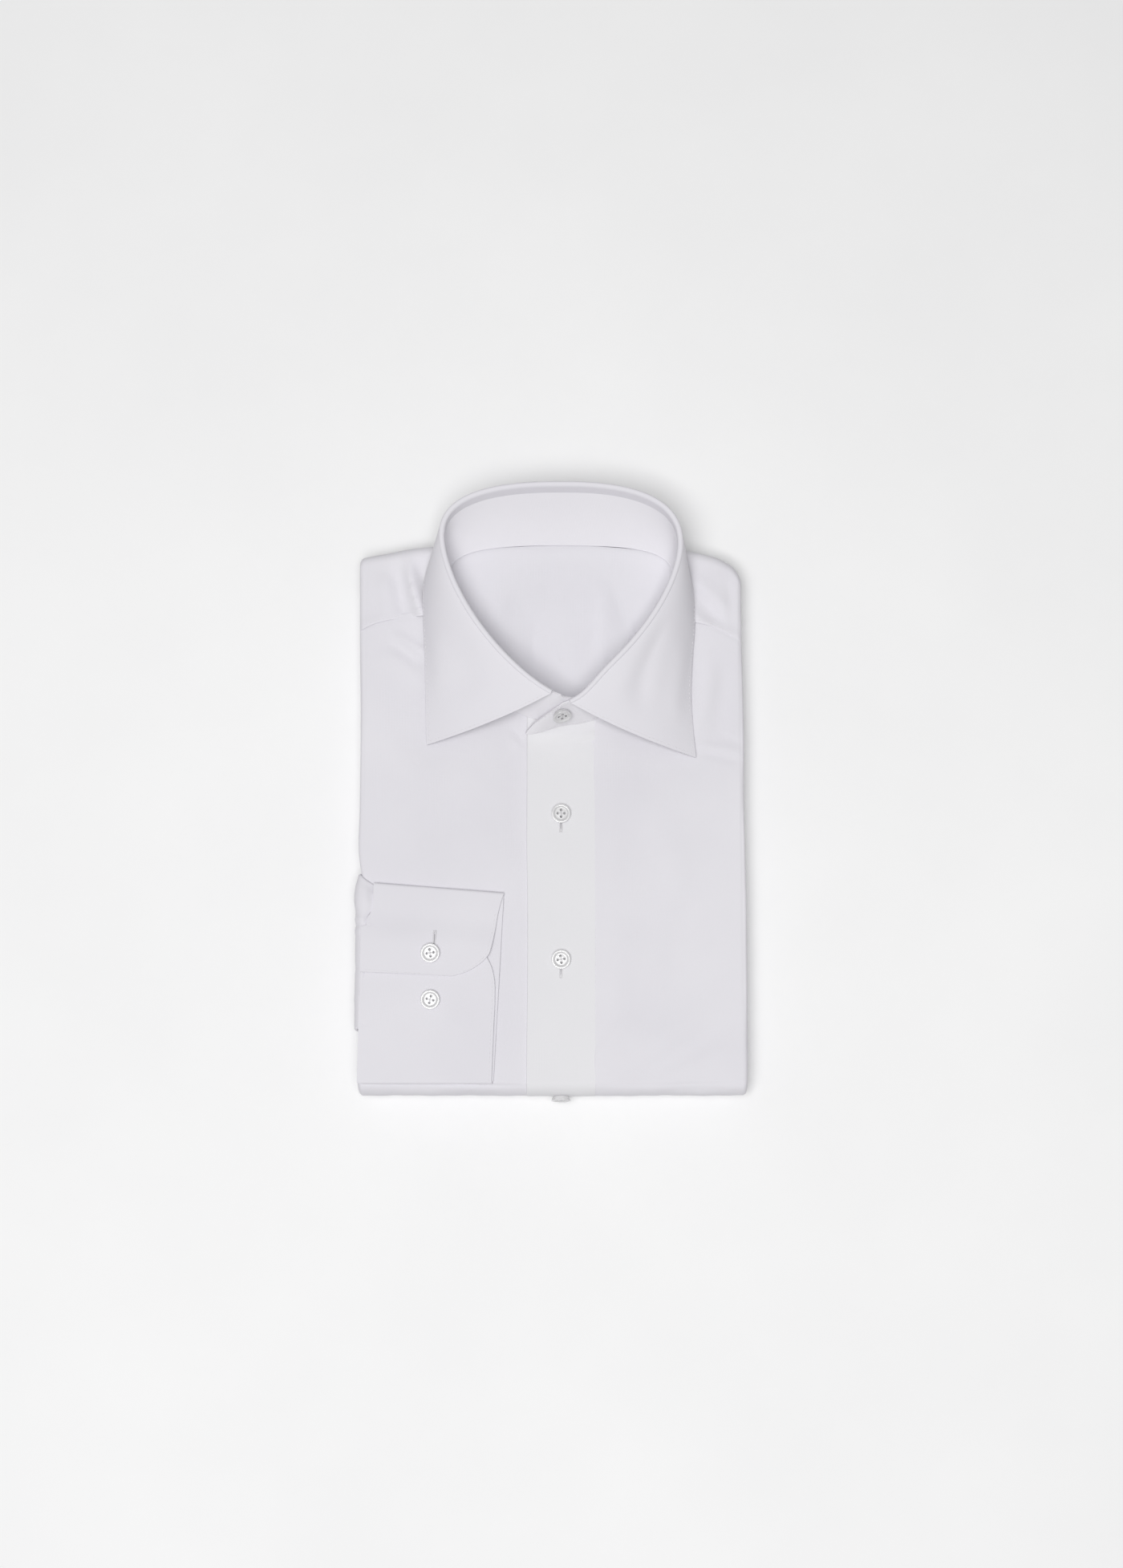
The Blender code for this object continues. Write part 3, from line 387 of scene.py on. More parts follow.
def makeFloor():
    bpy.ops.mesh.primitive_plane_add(size=6.0, location=(0, 0, -0.0004))
    floor = bpy.context.object
    floor.name = "paleFloor"
    material, tree, shader, place = newMaterial("palePlaster")
    clouds = noiseIn(tree, place["Object"], Scale=5.0, Detail=8.0, Roughness=0.6)
    tones = (0.91, 0.91, 0.912), (0.94, 0.94, 0.94)
    feed(tree, shader, {"Base Color": rampIn(tree, clouds, (0.35, 0.7), tones), "Roughness": 0.95})
    floor.data.materials.append(material)


setStage()
makeFloor()
print("Stage ready")


# The neck: two rings that the collar stand runs between, and the tool that opens the neckline

standFoot = {
    "frontY": 61.5, "leftY": 150.0, "rightY": 150.0, "backY": 170.3, "halfWidth": 68.0,
    "frontCurve": 1.9, "frontRound": 2.2, "backSquare": 3.0,
    "frontZ": 28.7, "backZ": 25.3, "easeFrom": 0.07, "easeTo": 0.3,
}
standTop = {
    "frontY": 74.0, "leftY": 163.0, "rightY": 168.0, "backY": 197.0, "halfWidth": 69.6,
    "frontCurve": 1.6, "frontRound": 1.3, "backSquare": 2.5,
    "frontZ": 49.0, "backZ": 48.5, "easeFrom": 0.0, "easeTo": 1.0,
}
lapPlan = {
    "out": 1.7, "outTurns": (18, 36), "slide": (0, -10.0, 0.5), "slideTurns": (-20.0, 4.0), "lessAtTop": 0.7,
    "lean": (0, -3.4, -1.2), "leanTurns": (14, 44),
}
neckToolPlan = {"middleY": 115.0, "within": 0.988, "low": 21.0, "high": 41.0}


def neckRing(turn, ring):  # turn 0 is the front, 90 the wearer's left, 180 behind
    turn = np.asarray(turn, float) % 360
    side = np.where(turn < 180, 1.0, -1.0)
    angle = np.radians(np.where(turn < 180, turn, 360 - turn))
    wideY = np.where(side > 0, ring["leftY"], ring["rightY"])
    ahead = np.clip(np.cos(angle), 0, 1)
    rear = np.clip(-np.cos(angle), 0, 1)
    front = (1 - ahead ** ring["frontCurve"]) ** (1 / ring["frontRound"])
    behind = np.abs(np.sin(angle)) ** (2 / ring["backSquare"])
    spread = np.where(angle <= math.pi / 2, front, behind)
    y = wideY - ahead * (wideY - ring["frontY"]) + rear ** (2 / ring["backSquare"]) * (ring["backY"] - wideY)
    share = (1 - np.cos(angle)) / 2
    z = ring["frontZ"] + (ring["backZ"] - ring["frontZ"]) * eased(share, ring["easeFrom"], ring["easeTo"])
    return np.stack([stack["centreX"] + side * ring["halfWidth"] * spread, y, z], axis=-1)


def outward(turn, ring):
    along = neckRing(turn + 2.0, ring) - neckRing(turn - 2.0, ring)
    return unit(np.stack([along[..., 1], -along[..., 0], 0 * along[..., 0]], axis=-1))


def lapOffset(turn, share):
    # The lapping end stands off the end under it, and slips forward as it rises
    turn, share = np.asarray(turn, float), np.asarray(share, float)
    near = (1 - eased(turn, *lapPlan["outTurns"]))[..., None]
    slide = ((1 - eased(turn, *lapPlan["slideTurns"])) * (1 - lapPlan["lessAtTop"] * share))[..., None]
    lean = (share * (1 - eased(turn, *lapPlan["leanTurns"])))[..., None]
    offset = outward(turn, standFoot) * lapPlan["out"] * near
    return offset + np.array(lapPlan["slide"]) * slide + np.array(lapPlan["lean"]) * lean


def cylinder(sides, radius, depth, place=(0, 0, 0)):
    bpy.ops.mesh.primitive_cylinder_add(vertices=sides, radius=radius, depth=depth, location=place)
    return bpy.context.object


def neckTool():
    tool = cylinder(144, 1.0, 1.0)
    middle = np.array([stack["centreX"], neckToolPlan["middleY"]])
    for vert in tool.data.vertices:
        turn = math.degrees(math.atan2(vert.co.x, -vert.co.y)) % 360
        place = middle + (neckRing(turn, standFoot)[:2] - middle) * neckToolPlan["within"]
        vert.co = Vector((*place, neckToolPlan["low" if vert.co.z < 0 else "high"])) * mm
    tool.data.update()
    return tool


def cutBy(piece, tool):
    cut = piece.modifiers.new("Cut", "BOOLEAN")
    cut.operation = "DIFFERENCE"
    cut.solver = "EXACT"
    cut.object = tool
    return piece


# Fronts, band, yoke and back

def widened(x, y):  # x moved so that the nominal side lands where the real side is at this y
    left = smoothAt(sides, "y", "left", y)
    right = smoothAt(sides, "y", "right", y)
    return x * np.where(x < 0, left, right) / stack["halfWidth"]


def liftShare(row):  # 1 on the front, 0 underneath
    turn = np.clip(np.asarray(row, float) - 1, 0, 1)
    return ((1 + np.cos(np.pi * turn)) / 2) ** 2


def foldReach(turn):
    # How far the fold's outline lies from its middle, in leaf thicknesses: level at first, then rounded down
    flat = stack["foldFlat"] / stack["leaf"]
    sine, cosine = np.abs(np.sin(turn)), np.abs(np.cos(turn))
    whole = sine**2 / (1 - flat) ** 2 + cosine**2
    slant = flat * sine / (1 - flat) ** 2
    rest = flat**2 / (1 - flat) ** 2 - 1
    rounded = (slant + np.sqrt(slant**2 - whole * rest)) / whole
    return np.where(sine <= flat * cosine, 1 / np.maximum(cosine, 0.1), rounded)


def stackPoint(x, depth, row, startY, endY):
    # Rows 0 to 1 run down the front, 1 to 2 round the bottom fold and 2 to 3 back underneath
    x, depth, row = (np.asarray(value, float) for value in np.broadcast_arrays(x, depth, row))
    leaf, foldY = stack["leaf"], stack["foldY"]
    turn = np.pi * np.clip(row - 1, 0, 1)
    front = startY + np.clip(row, 0, 1) * (foldY - startY)
    reach = 1 + (foldReach(turn) - 1) * np.clip((leaf - depth) / leaf, 0, 1.1)
    around = foldY - (leaf - depth) * np.sin(turn) * reach
    under = foldY + np.clip(row - 2, 0, 1) * (endY - foldY)
    y = np.where(row <= 1, front, np.where(row < 2, around, under))
    z = np.where(row <= 1, stack["thick"] - depth, leaf + (leaf - depth) * np.cos(turn) * reach)
    return np.stack([widened(x, y), y, z], axis=-1)


def sideFold(side):
    # Round a side fold, from the free edge of its return out to the front
    roll, hidden = stack["roll"], stack["hiddenColumns"]
    middle = stack["halfWidth"] - roll
    angle = np.linspace(0, math.pi, 17)
    x = np.concatenate([np.linspace(stack["returnX"], middle - 0.8, hidden), middle + roll * np.sin(angle)])
    depth = np.concatenate([np.full(hidden, 2 * roll), roll + roll * np.cos(angle)])
    return side * x, depth


def softEdge(x):  # 0 at the side folds, 1 a little way in
    return eased(stack["halfWidth"] - np.abs(x), 0.0, stack["sideSoft"])


def stackRows(front, fold, under):
    return np.concatenate([
        np.linspace(0, 1, front, endpoint=False),
        np.linspace(1, 2, fold, endpoint=False),
        np.linspace(2, 3, under),
    ])


frontCreases = table(
    creaseColumns,
    (-25, 59, -15, 46, 1.7, -0.5), (-30, 56, -19, 44, 2.2, 0.2), (-95, 116, -74, 101, 2.6, 0.9, 0.3),
    (-99, 112, -77, 96, 3.4, -0.8), (-103, 104, -80, 84, 4.5, 0.5, 0, -2),
    (-108, 86, -84, 30, 8, 0.5, 0, 4), (-60, 40, -96, -22, 10, 0.55, 0, 5),
    (-26, 62, -21, -30, 7, -0.45, 0, -1.5), (-22, -30, -24, -140, 5, -0.3),
    (-44, 34, -40, -20, 9, 0.35, 0, 3), (86, 48, 113, 43.5, 2.4, 0.45, 0.3), (88, 44, 113, 38, 2.6, -0.45),
    (100, 53, 113, 49, 1.8, -0.35), (95, 103, 84, 52, 5, 0.5, 0, -3), (104, 96, 98, 44, 5, -0.5),
    (20, -152, 48, -112, 6, 0.6, 0.3, -1.5), (26, -150, 96, -100, 9, 0.55, 0, 4),
    (38, -152, 108, -112, 8, -0.75, 0, 5), (62, -152, 112, -132, 6, 0.4), (46, 24, 84, -60, 12, 0.6, 0, -6),
    (92, -20, 70, -96, 9, -0.6, 0, 4), (50, -60, 36, -112, 8, 0.4, 0, 3),
    (-116, -153.4, -12, -155.2, 0.8, -0.45), (24, -154.6, 118, -153.8, 1, -0.2),
    (-113, 150, -113.2, -20, 0.8, -0.16), (112.6, 148, 113, -150, 0.8, -0.2),
)
underCreases = table(
    creaseColumns,
    (-90, 130, -70, 20, 7, -0.3, 0, 5), (-60, 20, -96, -80, 8, -0.35, 0, -4),
    (60, 120, 90, 10, 8, -0.35, 0, -5), (50, -30, 100, -120, 7, -0.3, 0, 4),
    (-108, -120, -40, -138, 4, -0.3),
)
foldPlan = {
    "waves": (64, 0.34, 3), "ripples": ((0.12, 0.16, 0.0), (0.1, 0.43, 1.0)),
    "frontEnds": (1.2, 1.36), "underStarts": (1.95, 2.1),
}


def stackHeight(points, row):
    # Creases on the front, others underneath, both fading round the fold
    onFront = creased(points, frontCreases) + unevenness(points, *foldPlan["waves"])
    onUnder = creased(points, underCreases)
    rippled = sum(size * np.sin(points[..., 0] * wave + phase) for size, wave, phase in foldPlan["ripples"])
    frontShare = 1 - eased(row, *foldPlan["frontEnds"])
    underShare = eased(row, *foldPlan["underStarts"])
    return onFront * frontShare + onUnder * underShare + rippled * (1 - frontShare) * (1 - underShare)


frontPlan = {
    "rows": (132, 56, 84), "seamTuck": 2.4, "seamSink": 0.55, "sinkFrom": 1.2, "sinkTo": 3.4,
    "rightColumns": ((-111.6, -104, 11), (-102, -24, 48), (-22.6, -11, 18), (-9, 21, 12)),
    "underBand": (-15.2, -11.6), "underDepth": 2.6, "rise": 0.35, "riseFrom": -60, "riseTo": -22,
    "bandRight": 25.2, "leftColumns": ((28.0, 102, 40), (104, 111.6, 11)),
    "pressed": 0.12, "pressedMore": 0.5, "slopeTo": 34,
}


def makeFront(name, node, columns, side, depthOf, tool, cell):
    foldX, foldDepth = sideFold(side)
    flatX = spaced(*columns)
    parts = [(foldX, foldDepth), (flatX, np.zeros(len(flatX)))]
    if side > 0:
        parts = [parts[1], (foldX[::-1], foldDepth[::-1])]
    x, base = (np.concatenate(values) for values in zip(*parts))
    rows = stackRows(*frontPlan["rows"])[:, None]
    startY = smoothAt(yokeSeam, "x", "y", x) + frontPlan["seamTuck"]
    depth = base + depthOf(x, rows)
    plain = stackPoint(x, depth, rows, startY, stack["tailY"])
    tuck = 1 - eased(startY - plain[..., 1], frontPlan["sinkFrom"], frontPlan["sinkTo"])
    bulge = stackHeight(plain, rows) - frontPlan["seamSink"] * tuck * (rows < 1)
    points = stackPoint(x, depth - bulge * softEdge(x), rows, startY, stack["tailY"])
    piece = cutBy(clothPiece(name, points, stack["cloth"], (*cell, (0, 0, 1))), tool)
    finishedSheet(piece, shirtCloth, node)


def rightDepth(x, rows):  # the right front rises to the band and dips under it
    underBand = eased(x, *frontPlan["underBand"])
    rise = frontPlan["rise"] * eased(x, frontPlan["riseFrom"], frontPlan["riseTo"]) * liftShare(rows)
    return underBand * (frontPlan["underDepth"] - stack["lift"] * liftShare(rows)) - rise * (1 - underBand)


def leftDepth(x, rows):  # the left front slopes up to the band's seam
    edge = frontPlan["bandRight"]
    raised = stack["lift"] * liftShare(rows) * (1 - eased(x, edge + 1, edge + frontPlan["slopeTo"]))
    pressed = frontPlan["pressed"] + frontPlan["pressedMore"] * (1 - eased(x, edge - 0.9, edge + 0.2))
    return pressed * (1 - eased(x, edge + 4, edge + 14)) - raised


def makeFronts(tool):
    edge = frontPlan["bandRight"]
    left = ((edge - 1.6, edge + 1.6, 9), *frontPlan["leftColumns"])
    makeFront("frontRight", "front_right", frontPlan["rightColumns"], -1, rightDepth, tool, (40, 60))
    makeFront("frontLeft", "front_left", left, 1, leftDepth, tool, (40, 30))


bandPlan = {
    "left": -15.4, "right": 25.2, "roll": 0.72, "rows": (110, 56, 84), "settle": 0.15, "mostSunk": 0.28,
    "soft": 0.5, "innerColumns": 12,
}
bandCreases = table(
    creaseColumns,
    (-20, 53.2, 32, 53.6, 1.9, 0.45), (-20, 48.4, 32, 49.4, 1.7, -0.4), (-6, 44, 4, -30, 9, 0.16, 0, 2),
    (18, -60, -4, -140, 9, 0.18, 0, -2),
)


def neckFrontY(x):  # where the neck line crosses each x at the front
    line = neckRing(np.linspace(-60.0, 60.0, 121), standFoot)
    return np.interp(x, line[:, 0], line[:, 1]) + 0.6


def makeBand():
    roll, right = bandPlan["roll"], bandPlan["right"]
    angle = np.linspace(0, math.pi, 11)
    middle = bandPlan["left"] + roll
    inner = np.linspace(right - 0.6, middle + 1.5, bandPlan["innerColumns"])
    outer = spaced((middle + 0.8, middle + 3, 5), (middle + 5, right, 19))
    x = np.concatenate([inner, middle - roll * np.sin(angle), outer])
    base = np.concatenate([np.full(len(inner), 2 * roll), roll + roll * np.cos(angle), np.zeros(len(outer))])
    rows = stackRows(*bandPlan["rows"])[:, None]
    startY = neckFrontY(x)
    plain = stackPoint(x, base - stack["lift"] * liftShare(rows), rows, startY, stack["tailY"])
    upper = eased(2 * roll - base, 0.0, 2 * roll)
    bulge = (bandPlan["soft"] * stackHeight(plain, rows) + creased(plain, bandCreases) * (rows < 1)) * upper
    bulge = np.maximum(bulge, -bandPlan["mostSunk"])
    depth = base - (stack["lift"] - bandPlan["settle"]) * liftShare(rows) - bulge
    points = stackPoint(x, depth, rows, startY, stack["tailY"])
    piece = clothPiece("frontBand", points, stack["cloth"], (40, 30, (0, 0, 1)))
    finishedSheet(piece, bandCloth, "front_band")


yokePlan = {
    "roll": 6.5, "under": 12.0, "edgeRise": 0.3, "edgeTurn": 0.25, "rows": (30, 22, 6), "seamDown": 0.2,
    "columns": ((-111.6, -104, 11), (-102, 102, 104), (104, 111.6, 11)), "waves": (40, 0.2, 5),
}
yokeCreases = table(
    creaseColumns,
    (-88, 160, -76, 117, 3, 1.5, -0.35, 1.5), (-95, 157, -86, 118, 3.6, -1.3, 0, 1),
    (-103, 152, -99, 124, 4.2, 0.6), (-82, 164, -72, 128, 3.4, -1.1),
    (78, 146, 104, 118, 4.2, -0.8, 0.2, -1.5), (84, 152, 112, 124, 4.6, 0.5), (76, 136, 96, 116, 3.6, 0.5),
    (106, 150, 108, 118, 3.5, -0.4), (-113, 158, -113, 116, 0.8, -0.16),
    (112.6, 148, 112.8, 112, 0.8, -0.2),
)


def yokePoint(x, depth, row, startY):
    # Rows 0 to 1 run up to the shoulder, 1 to 2 round its fold and 2 to 3 back underneath
    x, depth, row = np.broadcast_arrays(x, depth, row)
    roll, thick = yokePlan["roll"], stack["thick"]
    axis = smoothAt(shoulder, "x", "y", x) - roll
    turn = np.pi * np.clip(row - 1, 0, 1)
    front = startY + np.clip(row, 0, 1) * (axis - startY)
    back = np.where(row < 2, axis + (roll - depth) * np.sin(turn), axis - (row - 2) * yokePlan["under"])
    y = np.where(row <= 1, front, back)
    z = np.where(row <= 1, thick - depth, thick - roll + (roll - depth) * np.cos(turn))
    return np.stack([widened(x, y), y, z], axis=-1)


def makeYoke(tool):
    foldX, foldDepth = sideFold(-1)
    keep = foldX < -stack["halfWidth"] + stack["roll"] + 0.1
    foldX, foldDepth = foldX[keep], foldDepth[keep]
    flatX = spaced(*yokePlan["columns"])
    x = np.concatenate([foldX, flatX, -foldX[::-1]])
    base = np.concatenate([foldDepth, np.zeros(len(flatX)), foldDepth[::-1]])
    rows = stackRows(*yokePlan["rows"])[:, None]
    startY = smoothAt(yokeSeam, "x", "y", x) - yokePlan["seamDown"]
    plain = yokePoint(x, base, rows, startY)
    fromSeam = plain[..., 1] - startY
    ledge = yokePlan["edgeRise"] * (1 - eased(fromSeam, 2.0, 7.0))
    ledge = ledge - yokePlan["edgeTurn"] * (1 - eased(fromSeam, 0.0, 0.8))
    fade = 1 - eased(rows, 0.96, 1.3)
    bulge = (creased(plain, yokeCreases) + unevenness(plain, *yokePlan["waves"])) * fade + ledge * (rows <= 1)
    bulge = bulge + 0.25 * np.sin(x * 0.21) * eased(rows, 1.0, 1.3) * (1 - eased(rows, 1.7, 2.0))
    points = yokePoint(x, base - bulge * softEdge(x), rows, startY)
    piece = cutBy(clothPiece("shoulderYoke", points, stack["cloth"], (12, 60, (0, 0, 1))), tool)
    finishedSheet(piece, shirtCloth, "yoke")
    return points


backPlan = {
    "depth": 9.8, "middleY": 90.0, "halfWidth": 62.0, "front": 36.0, "back": 76.0, "startY": 53.0,
    "fromTop": 1.3, "columns": (-66.0, 74.0, 94), "rows": 80, "lap": 0.9, "lapWidth": (-38, -27),
    "waves": (34, 0.25, 8),
}
backCreases = table(
    creaseColumns,
    (30, 158, 20, 76, 7.5, -1.1, 0, -3), (8, 156, 12, 84, 7, 0.6, 0, 1), (54, 136, 30, 82, 5, 1, 0.3),
    (40, 162, 46, 112, 6, 0.8, 0, 2), (52, 160, 69, 134, 3.6, -0.7), (58, 166, 73, 142, 3.4, 0.5),
    (-40, 152, -12, 82, 9, 0.7, 0, 3), (-54, 150, -28, 96, 7, -0.9), (-12, 128, 4, 70, 7, -1),
)


def neckHollow(x, y):  # how deep the cloth sinks inside the neck
    halfLength = np.where(y > backPlan["middleY"], backPlan["back"], backPlan["front"])
    across = (x - stack["centreX"]) / backPlan["halfWidth"]
    away = across**2 + ((y - backPlan["middleY"]) / halfLength) ** 2
    return backPlan["depth"] * eased(1 - away, 0.0, 1.0)


def makeBack():
    x = np.linspace(*backPlan["columns"])
    share = np.linspace(0, 1, backPlan["rows"])[:, None]
    startY = backPlan["startY"]
    y = startY + share * (smoothAt(shoulder, "x", "y", x) - yokePlan["roll"] - 1.2 - startY)
    x = np.broadcast_to(x, y.shape)
    hollow = neckHollow(x, y)
    lap = backPlan["lap"] * (1 - eased(y, startY + 6, startY + 16)) * eased(-np.abs(x), *backPlan["lapWidth"])
    place = np.stack([x, y], axis=-1)
    folds = creased(place, backCreases) + unevenness(place, *backPlan["waves"])
    folds = np.maximum(folds * eased(hollow, 0.1, 3.5), hollow - backPlan["depth"] - 0.2)
    z = stack["thick"] - backPlan["fromTop"] - lap - hollow + folds
    points = np.stack([x, y, z], axis=-1)
    piece = clothPiece("backInside", points, stack["cloth"], (30, 40, (0, 0, 1)))
    finishedSheet(piece, insideCloth, "back")


neckCutter = neckTool()
makeFronts(neckCutter)
makeBand()
yokePoints = makeYoke(neckCutter)
bpy.data.objects.remove(neckCutter, do_unlink=True)
print("Fronts, band and yoke ready")


# Hidden layers: one rounded body with the folds of separate layers round its edges

layerPlan = {
    "leg": 13.0, "cloth": 0.45, "rows": (70, 20, 60), "startY": 146.0, "deepest": 12.7, "endShort": 2.0,
    "tailHalf": 106.0, "tailColumns": 70, "legColumns": 7,
}
corePlan = {
    "inset": 9.0, "top": 3.4, "neckTop": 2.6, "deepest": 12.0, "bottom": 12.3, "startY": 160.0,
    "endShort": 7.0, "left": (-84, -74), "right": (82, 92), "rise": (36, 48),
    "columns": (60, 12), "rows": (60, 20, 20),
}
sideLayers = table(
    "side depth inset radius phase",
    (-1, 6.9, 3.2, 0.75, 0), (-1, 8.6, 4.4, 0.7, 1.3), (-1, 10.2, 3.6, 0.65, 2.9),
    (-1, 11.8, 6.4, 0.65, 4.1), (1, 6.9, 3.6, 0.75, 0.7), (1, 8.5, 3, 0.7, 2.2), (1, 10.1, 5, 0.65, 3.4),
    (1, 11.7, 6.8, 0.65, 5),
)
tailLayers = table(
    "depth inset radius phase",
    (2.6, 1, 0.7, 0.4), (4.4, 3, 0.75, 1.7), (6.3, 1.4, 0.8, 2.6), (8.3, 3.8, 0.75, 3.9),
    (10.3, 2, 0.8, 5.2), (12, 4.6, 0.6, 0.9),
)


def foldSection(radius, leg):
    # A folded edge's section as (out, across): in along one leg, round, and back along the other
    columns = layerPlan["legColumns"]
    angle = np.linspace(-math.pi / 2, math.pi / 2, 9)
    inward = np.linspace(-leg, -1.0, columns)
    out = np.concatenate([inward, radius * np.cos(angle), inward[::-1]])
    across = np.concatenate([np.full(columns, -radius), radius * np.sin(angle), np.full(columns, radius)])
    return out, across


def layerPiece(name, points, way):
    return clothPiece(name, points, layerPlan["cloth"], (20, 11, way), offset=0.0)


def makeFoldedLayers():
    parts = []
    rows = stackRows(*layerPlan["rows"])[:, None]
    for index, layer in enumerate(sideLayers):
        side, phase = layer["side"], layer["phase"]
        out, across = foldSection(layer["radius"], layerPlan["leg"])
        wander = 0.5 * np.sin(rows * 5.1 + phase) + 0.3 * np.sin(rows * 13.0 + 2 * phase)
        x = side * (stack["halfWidth"] - layer["inset"] - layer["radius"] + out + wander)
        depth = np.minimum(layer["depth"] + across + 0.15 * np.sin(rows * 9.0 + phase), layerPlan["deepest"])
        points = stackPoint(x, depth, rows, layerPlan["startY"], stack["tailY"] - layerPlan["endShort"])
        parts.append(layerPiece(f"layer{index}", points, (side, 0, 0)))
    for index, layer in enumerate(tailLayers):
        phase = layer["phase"]
        out, across = foldSection(layer["radius"], 2 * layerPlan["leg"])
        x = np.linspace(-layerPlan["tailHalf"], layerPlan["tailHalf"], layerPlan["tailColumns"])[:, None]
        wander = 0.6 * np.sin(x * 0.05 + phase) + 0.3 * np.sin(x * 0.13 + 2 * phase)
        y = stack["tailY"] - layer["inset"] + out + wander
        z = layer["depth"] + across + 0.12 * np.sin(x * 0.09 + phase)
        parts.append(layerPiece(f"tail{index}", np.stack(np.broadcast_arrays(x, y, z), axis=-1), (0, 1, 0)))
    parts.append(makeCore())
    for part in parts:
        applyAll(part)
    piece = smoothShaded(joined(parts, "foldedLayers"))
    finished(piece, insideCloth, ["folded_layers"])


def closeHoles(piece, fill):  # outsides all outward, and the open ends filled where asked
    selected(piece)
    bpy.ops.object.mode_set(mode="EDIT")
    bpy.ops.mesh.select_all(action="SELECT")
    if fill:
        bpy.ops.mesh.fill_holes(sides=0)
    bpy.ops.mesh.normals_make_consistent(inside=False)
    bpy.ops.object.mode_set(mode="OBJECT")
    return piece


def makeCore():
    # The middle of the stack, hollowed under the neck
    half = stack["halfWidth"] - corePlan["inset"]
    upperColumns, lowerColumns = corePlan["columns"]
    acrossX = spaced((-half, half, upperColumns), (half, -half, lowerColumns))
    upper = np.arange(len(acrossX)) < upperColumns
    rows = stackRows(*corePlan["rows"])[:, None]
    ends = corePlan["startY"], stack["tailY"] - corePlan["endShort"]
    plain = stackPoint(acrossX, 0.0, rows, *ends)
    x, y = plain[..., 0], plain[..., 1]
    overBack = eased(x, *corePlan["left"]) * (1 - eased(x, *corePlan["right"]))
    overBack = overBack * eased(y, *corePlan["rise"]) * (rows < 1)
    top = corePlan["top"] + overBack * (neckHollow(x, y) + corePlan["neckTop"])
    depth = np.where(upper, np.minimum(top, corePlan["deepest"]), corePlan["bottom"])
    points = stackPoint(acrossX, depth, rows, *ends)
    points = np.concatenate([points, points[:, :1]], axis=1)
    core = clothPiece("core", points, 0.0, (30, 30, (0, 0, 1)), closed=True)
    return closeHoles(applyAll(core), True)


makeFoldedLayers()
makeBack()
print("Folded layers and inside back ready")


# Collar

standPlan = {
    "lapStart": -16.0, "lapEnd": 376.0, "wall": 1.3, "rows": 22, "taper": 0.76, "taperTurns": 30.0,
    "roundTurns": 1.6, "underLower": 0.3, "belly": 0.9,
}
leafEdge = table(
    "turn x y z",
    (11, 85.4, 39.6, 27.9), (30, 83.6, 58, 27.7), (45, 82.6, 79, 27.6), (60, 83.6, 100, 27.6),
    (75, 85, 120, 27.7), (90, 84.2, 138, 27.8), (105, 81.5, 154, 27.8), (120, 76.5, 168, 26.8),
    (140, 58, 178.6, 17), (160, 32, 181.6, 13), (180, 5, 182, 12), (200, -22, 181.6, 13),
    (220, -47, 179.4, 17), (240, -68, 170.4, 26), (255, -74, 159, 27.4), (270, -77.6, 144, 27.8),
    (285, -77.6, 124, 27.7), (300, -76.8, 104, 27.6), (315, -76, 84, 27.6), (330, -75.6, 65, 27.7),
    (348, -75.2, 47.2, 27.9),
)
leafPlan = {
    "wall": 1.1, "columns": 240, "fallRows": 46, "rollRows": 12, "bow": 5.0, "startTurn": 11.0,
    "endTurn": 348.0, "waves": (42, 0.12, 11), "bends": ((0.42, 0.1), (0.2, 0.62)),
}
leafCreases = table(
    creaseColumns,
    (64, 120, 50, 66, 6.5, -1.2, 0, 2), (78, 112, 72, 60, 6, 0.7), (42, 100, 34, 70, 7, 0.5),
    (-58, 112, -50, 74, 9, -0.6, 0, -2), (-70, 120, -68, 76, 6, 0.4),
)


def makeCollarStand():
    start, end = standPlan["lapStart"], standPlan["lapEnd"]
    turns = np.concatenate([
        np.linspace(start, 30, 60, endpoint=False),
        np.linspace(30, 330, 150, endpoint=False),
        np.linspace(330, end, 44),
    ])
    foot, top = neckRing(turns, standFoot), neckRing(turns, standTop)
    fromEnd = turns - start
    taper = np.clip(1 - fromEnd / standPlan["taperTurns"], 0, 1)
    rounded = np.sqrt(np.clip(1 - np.clip(1 - fromEnd / standPlan["roundTurns"], 0, 1) ** 2, 0, 1))
    height = (1 - standPlan["taper"] * taper**4) * (0.5 + 0.5 * rounded)
    height = np.where(turns > 360, 1 - standPlan["underLower"] * (turns - 360) / (end - 360), height)
    share = height * np.linspace(0, 1, standPlan["rows"])[:, None]
    points = foot + (top - foot) * share[..., None] + lapOffset(np.broadcast_to(turns, share.shape), share)
    belly = standPlan["belly"] * np.sin(np.pi * share) * eased(turns, 40, 100) * (1 - eased(turns, 260, 320))
    points = points + outward(turns, standFoot) * belly[..., None]
    piece = clothPiece("collarStand", points, standPlan["wall"], (8, 30, (0, -1, 0)), offset=0.0)
    finishedSheet(piece, standCloth, "collar_stand")
    return points


def behindShare(turns):  # 0 at the front, 1 behind
    return eased((1 - np.cos(np.radians(turns))) / 2, 0.35, 0.9)


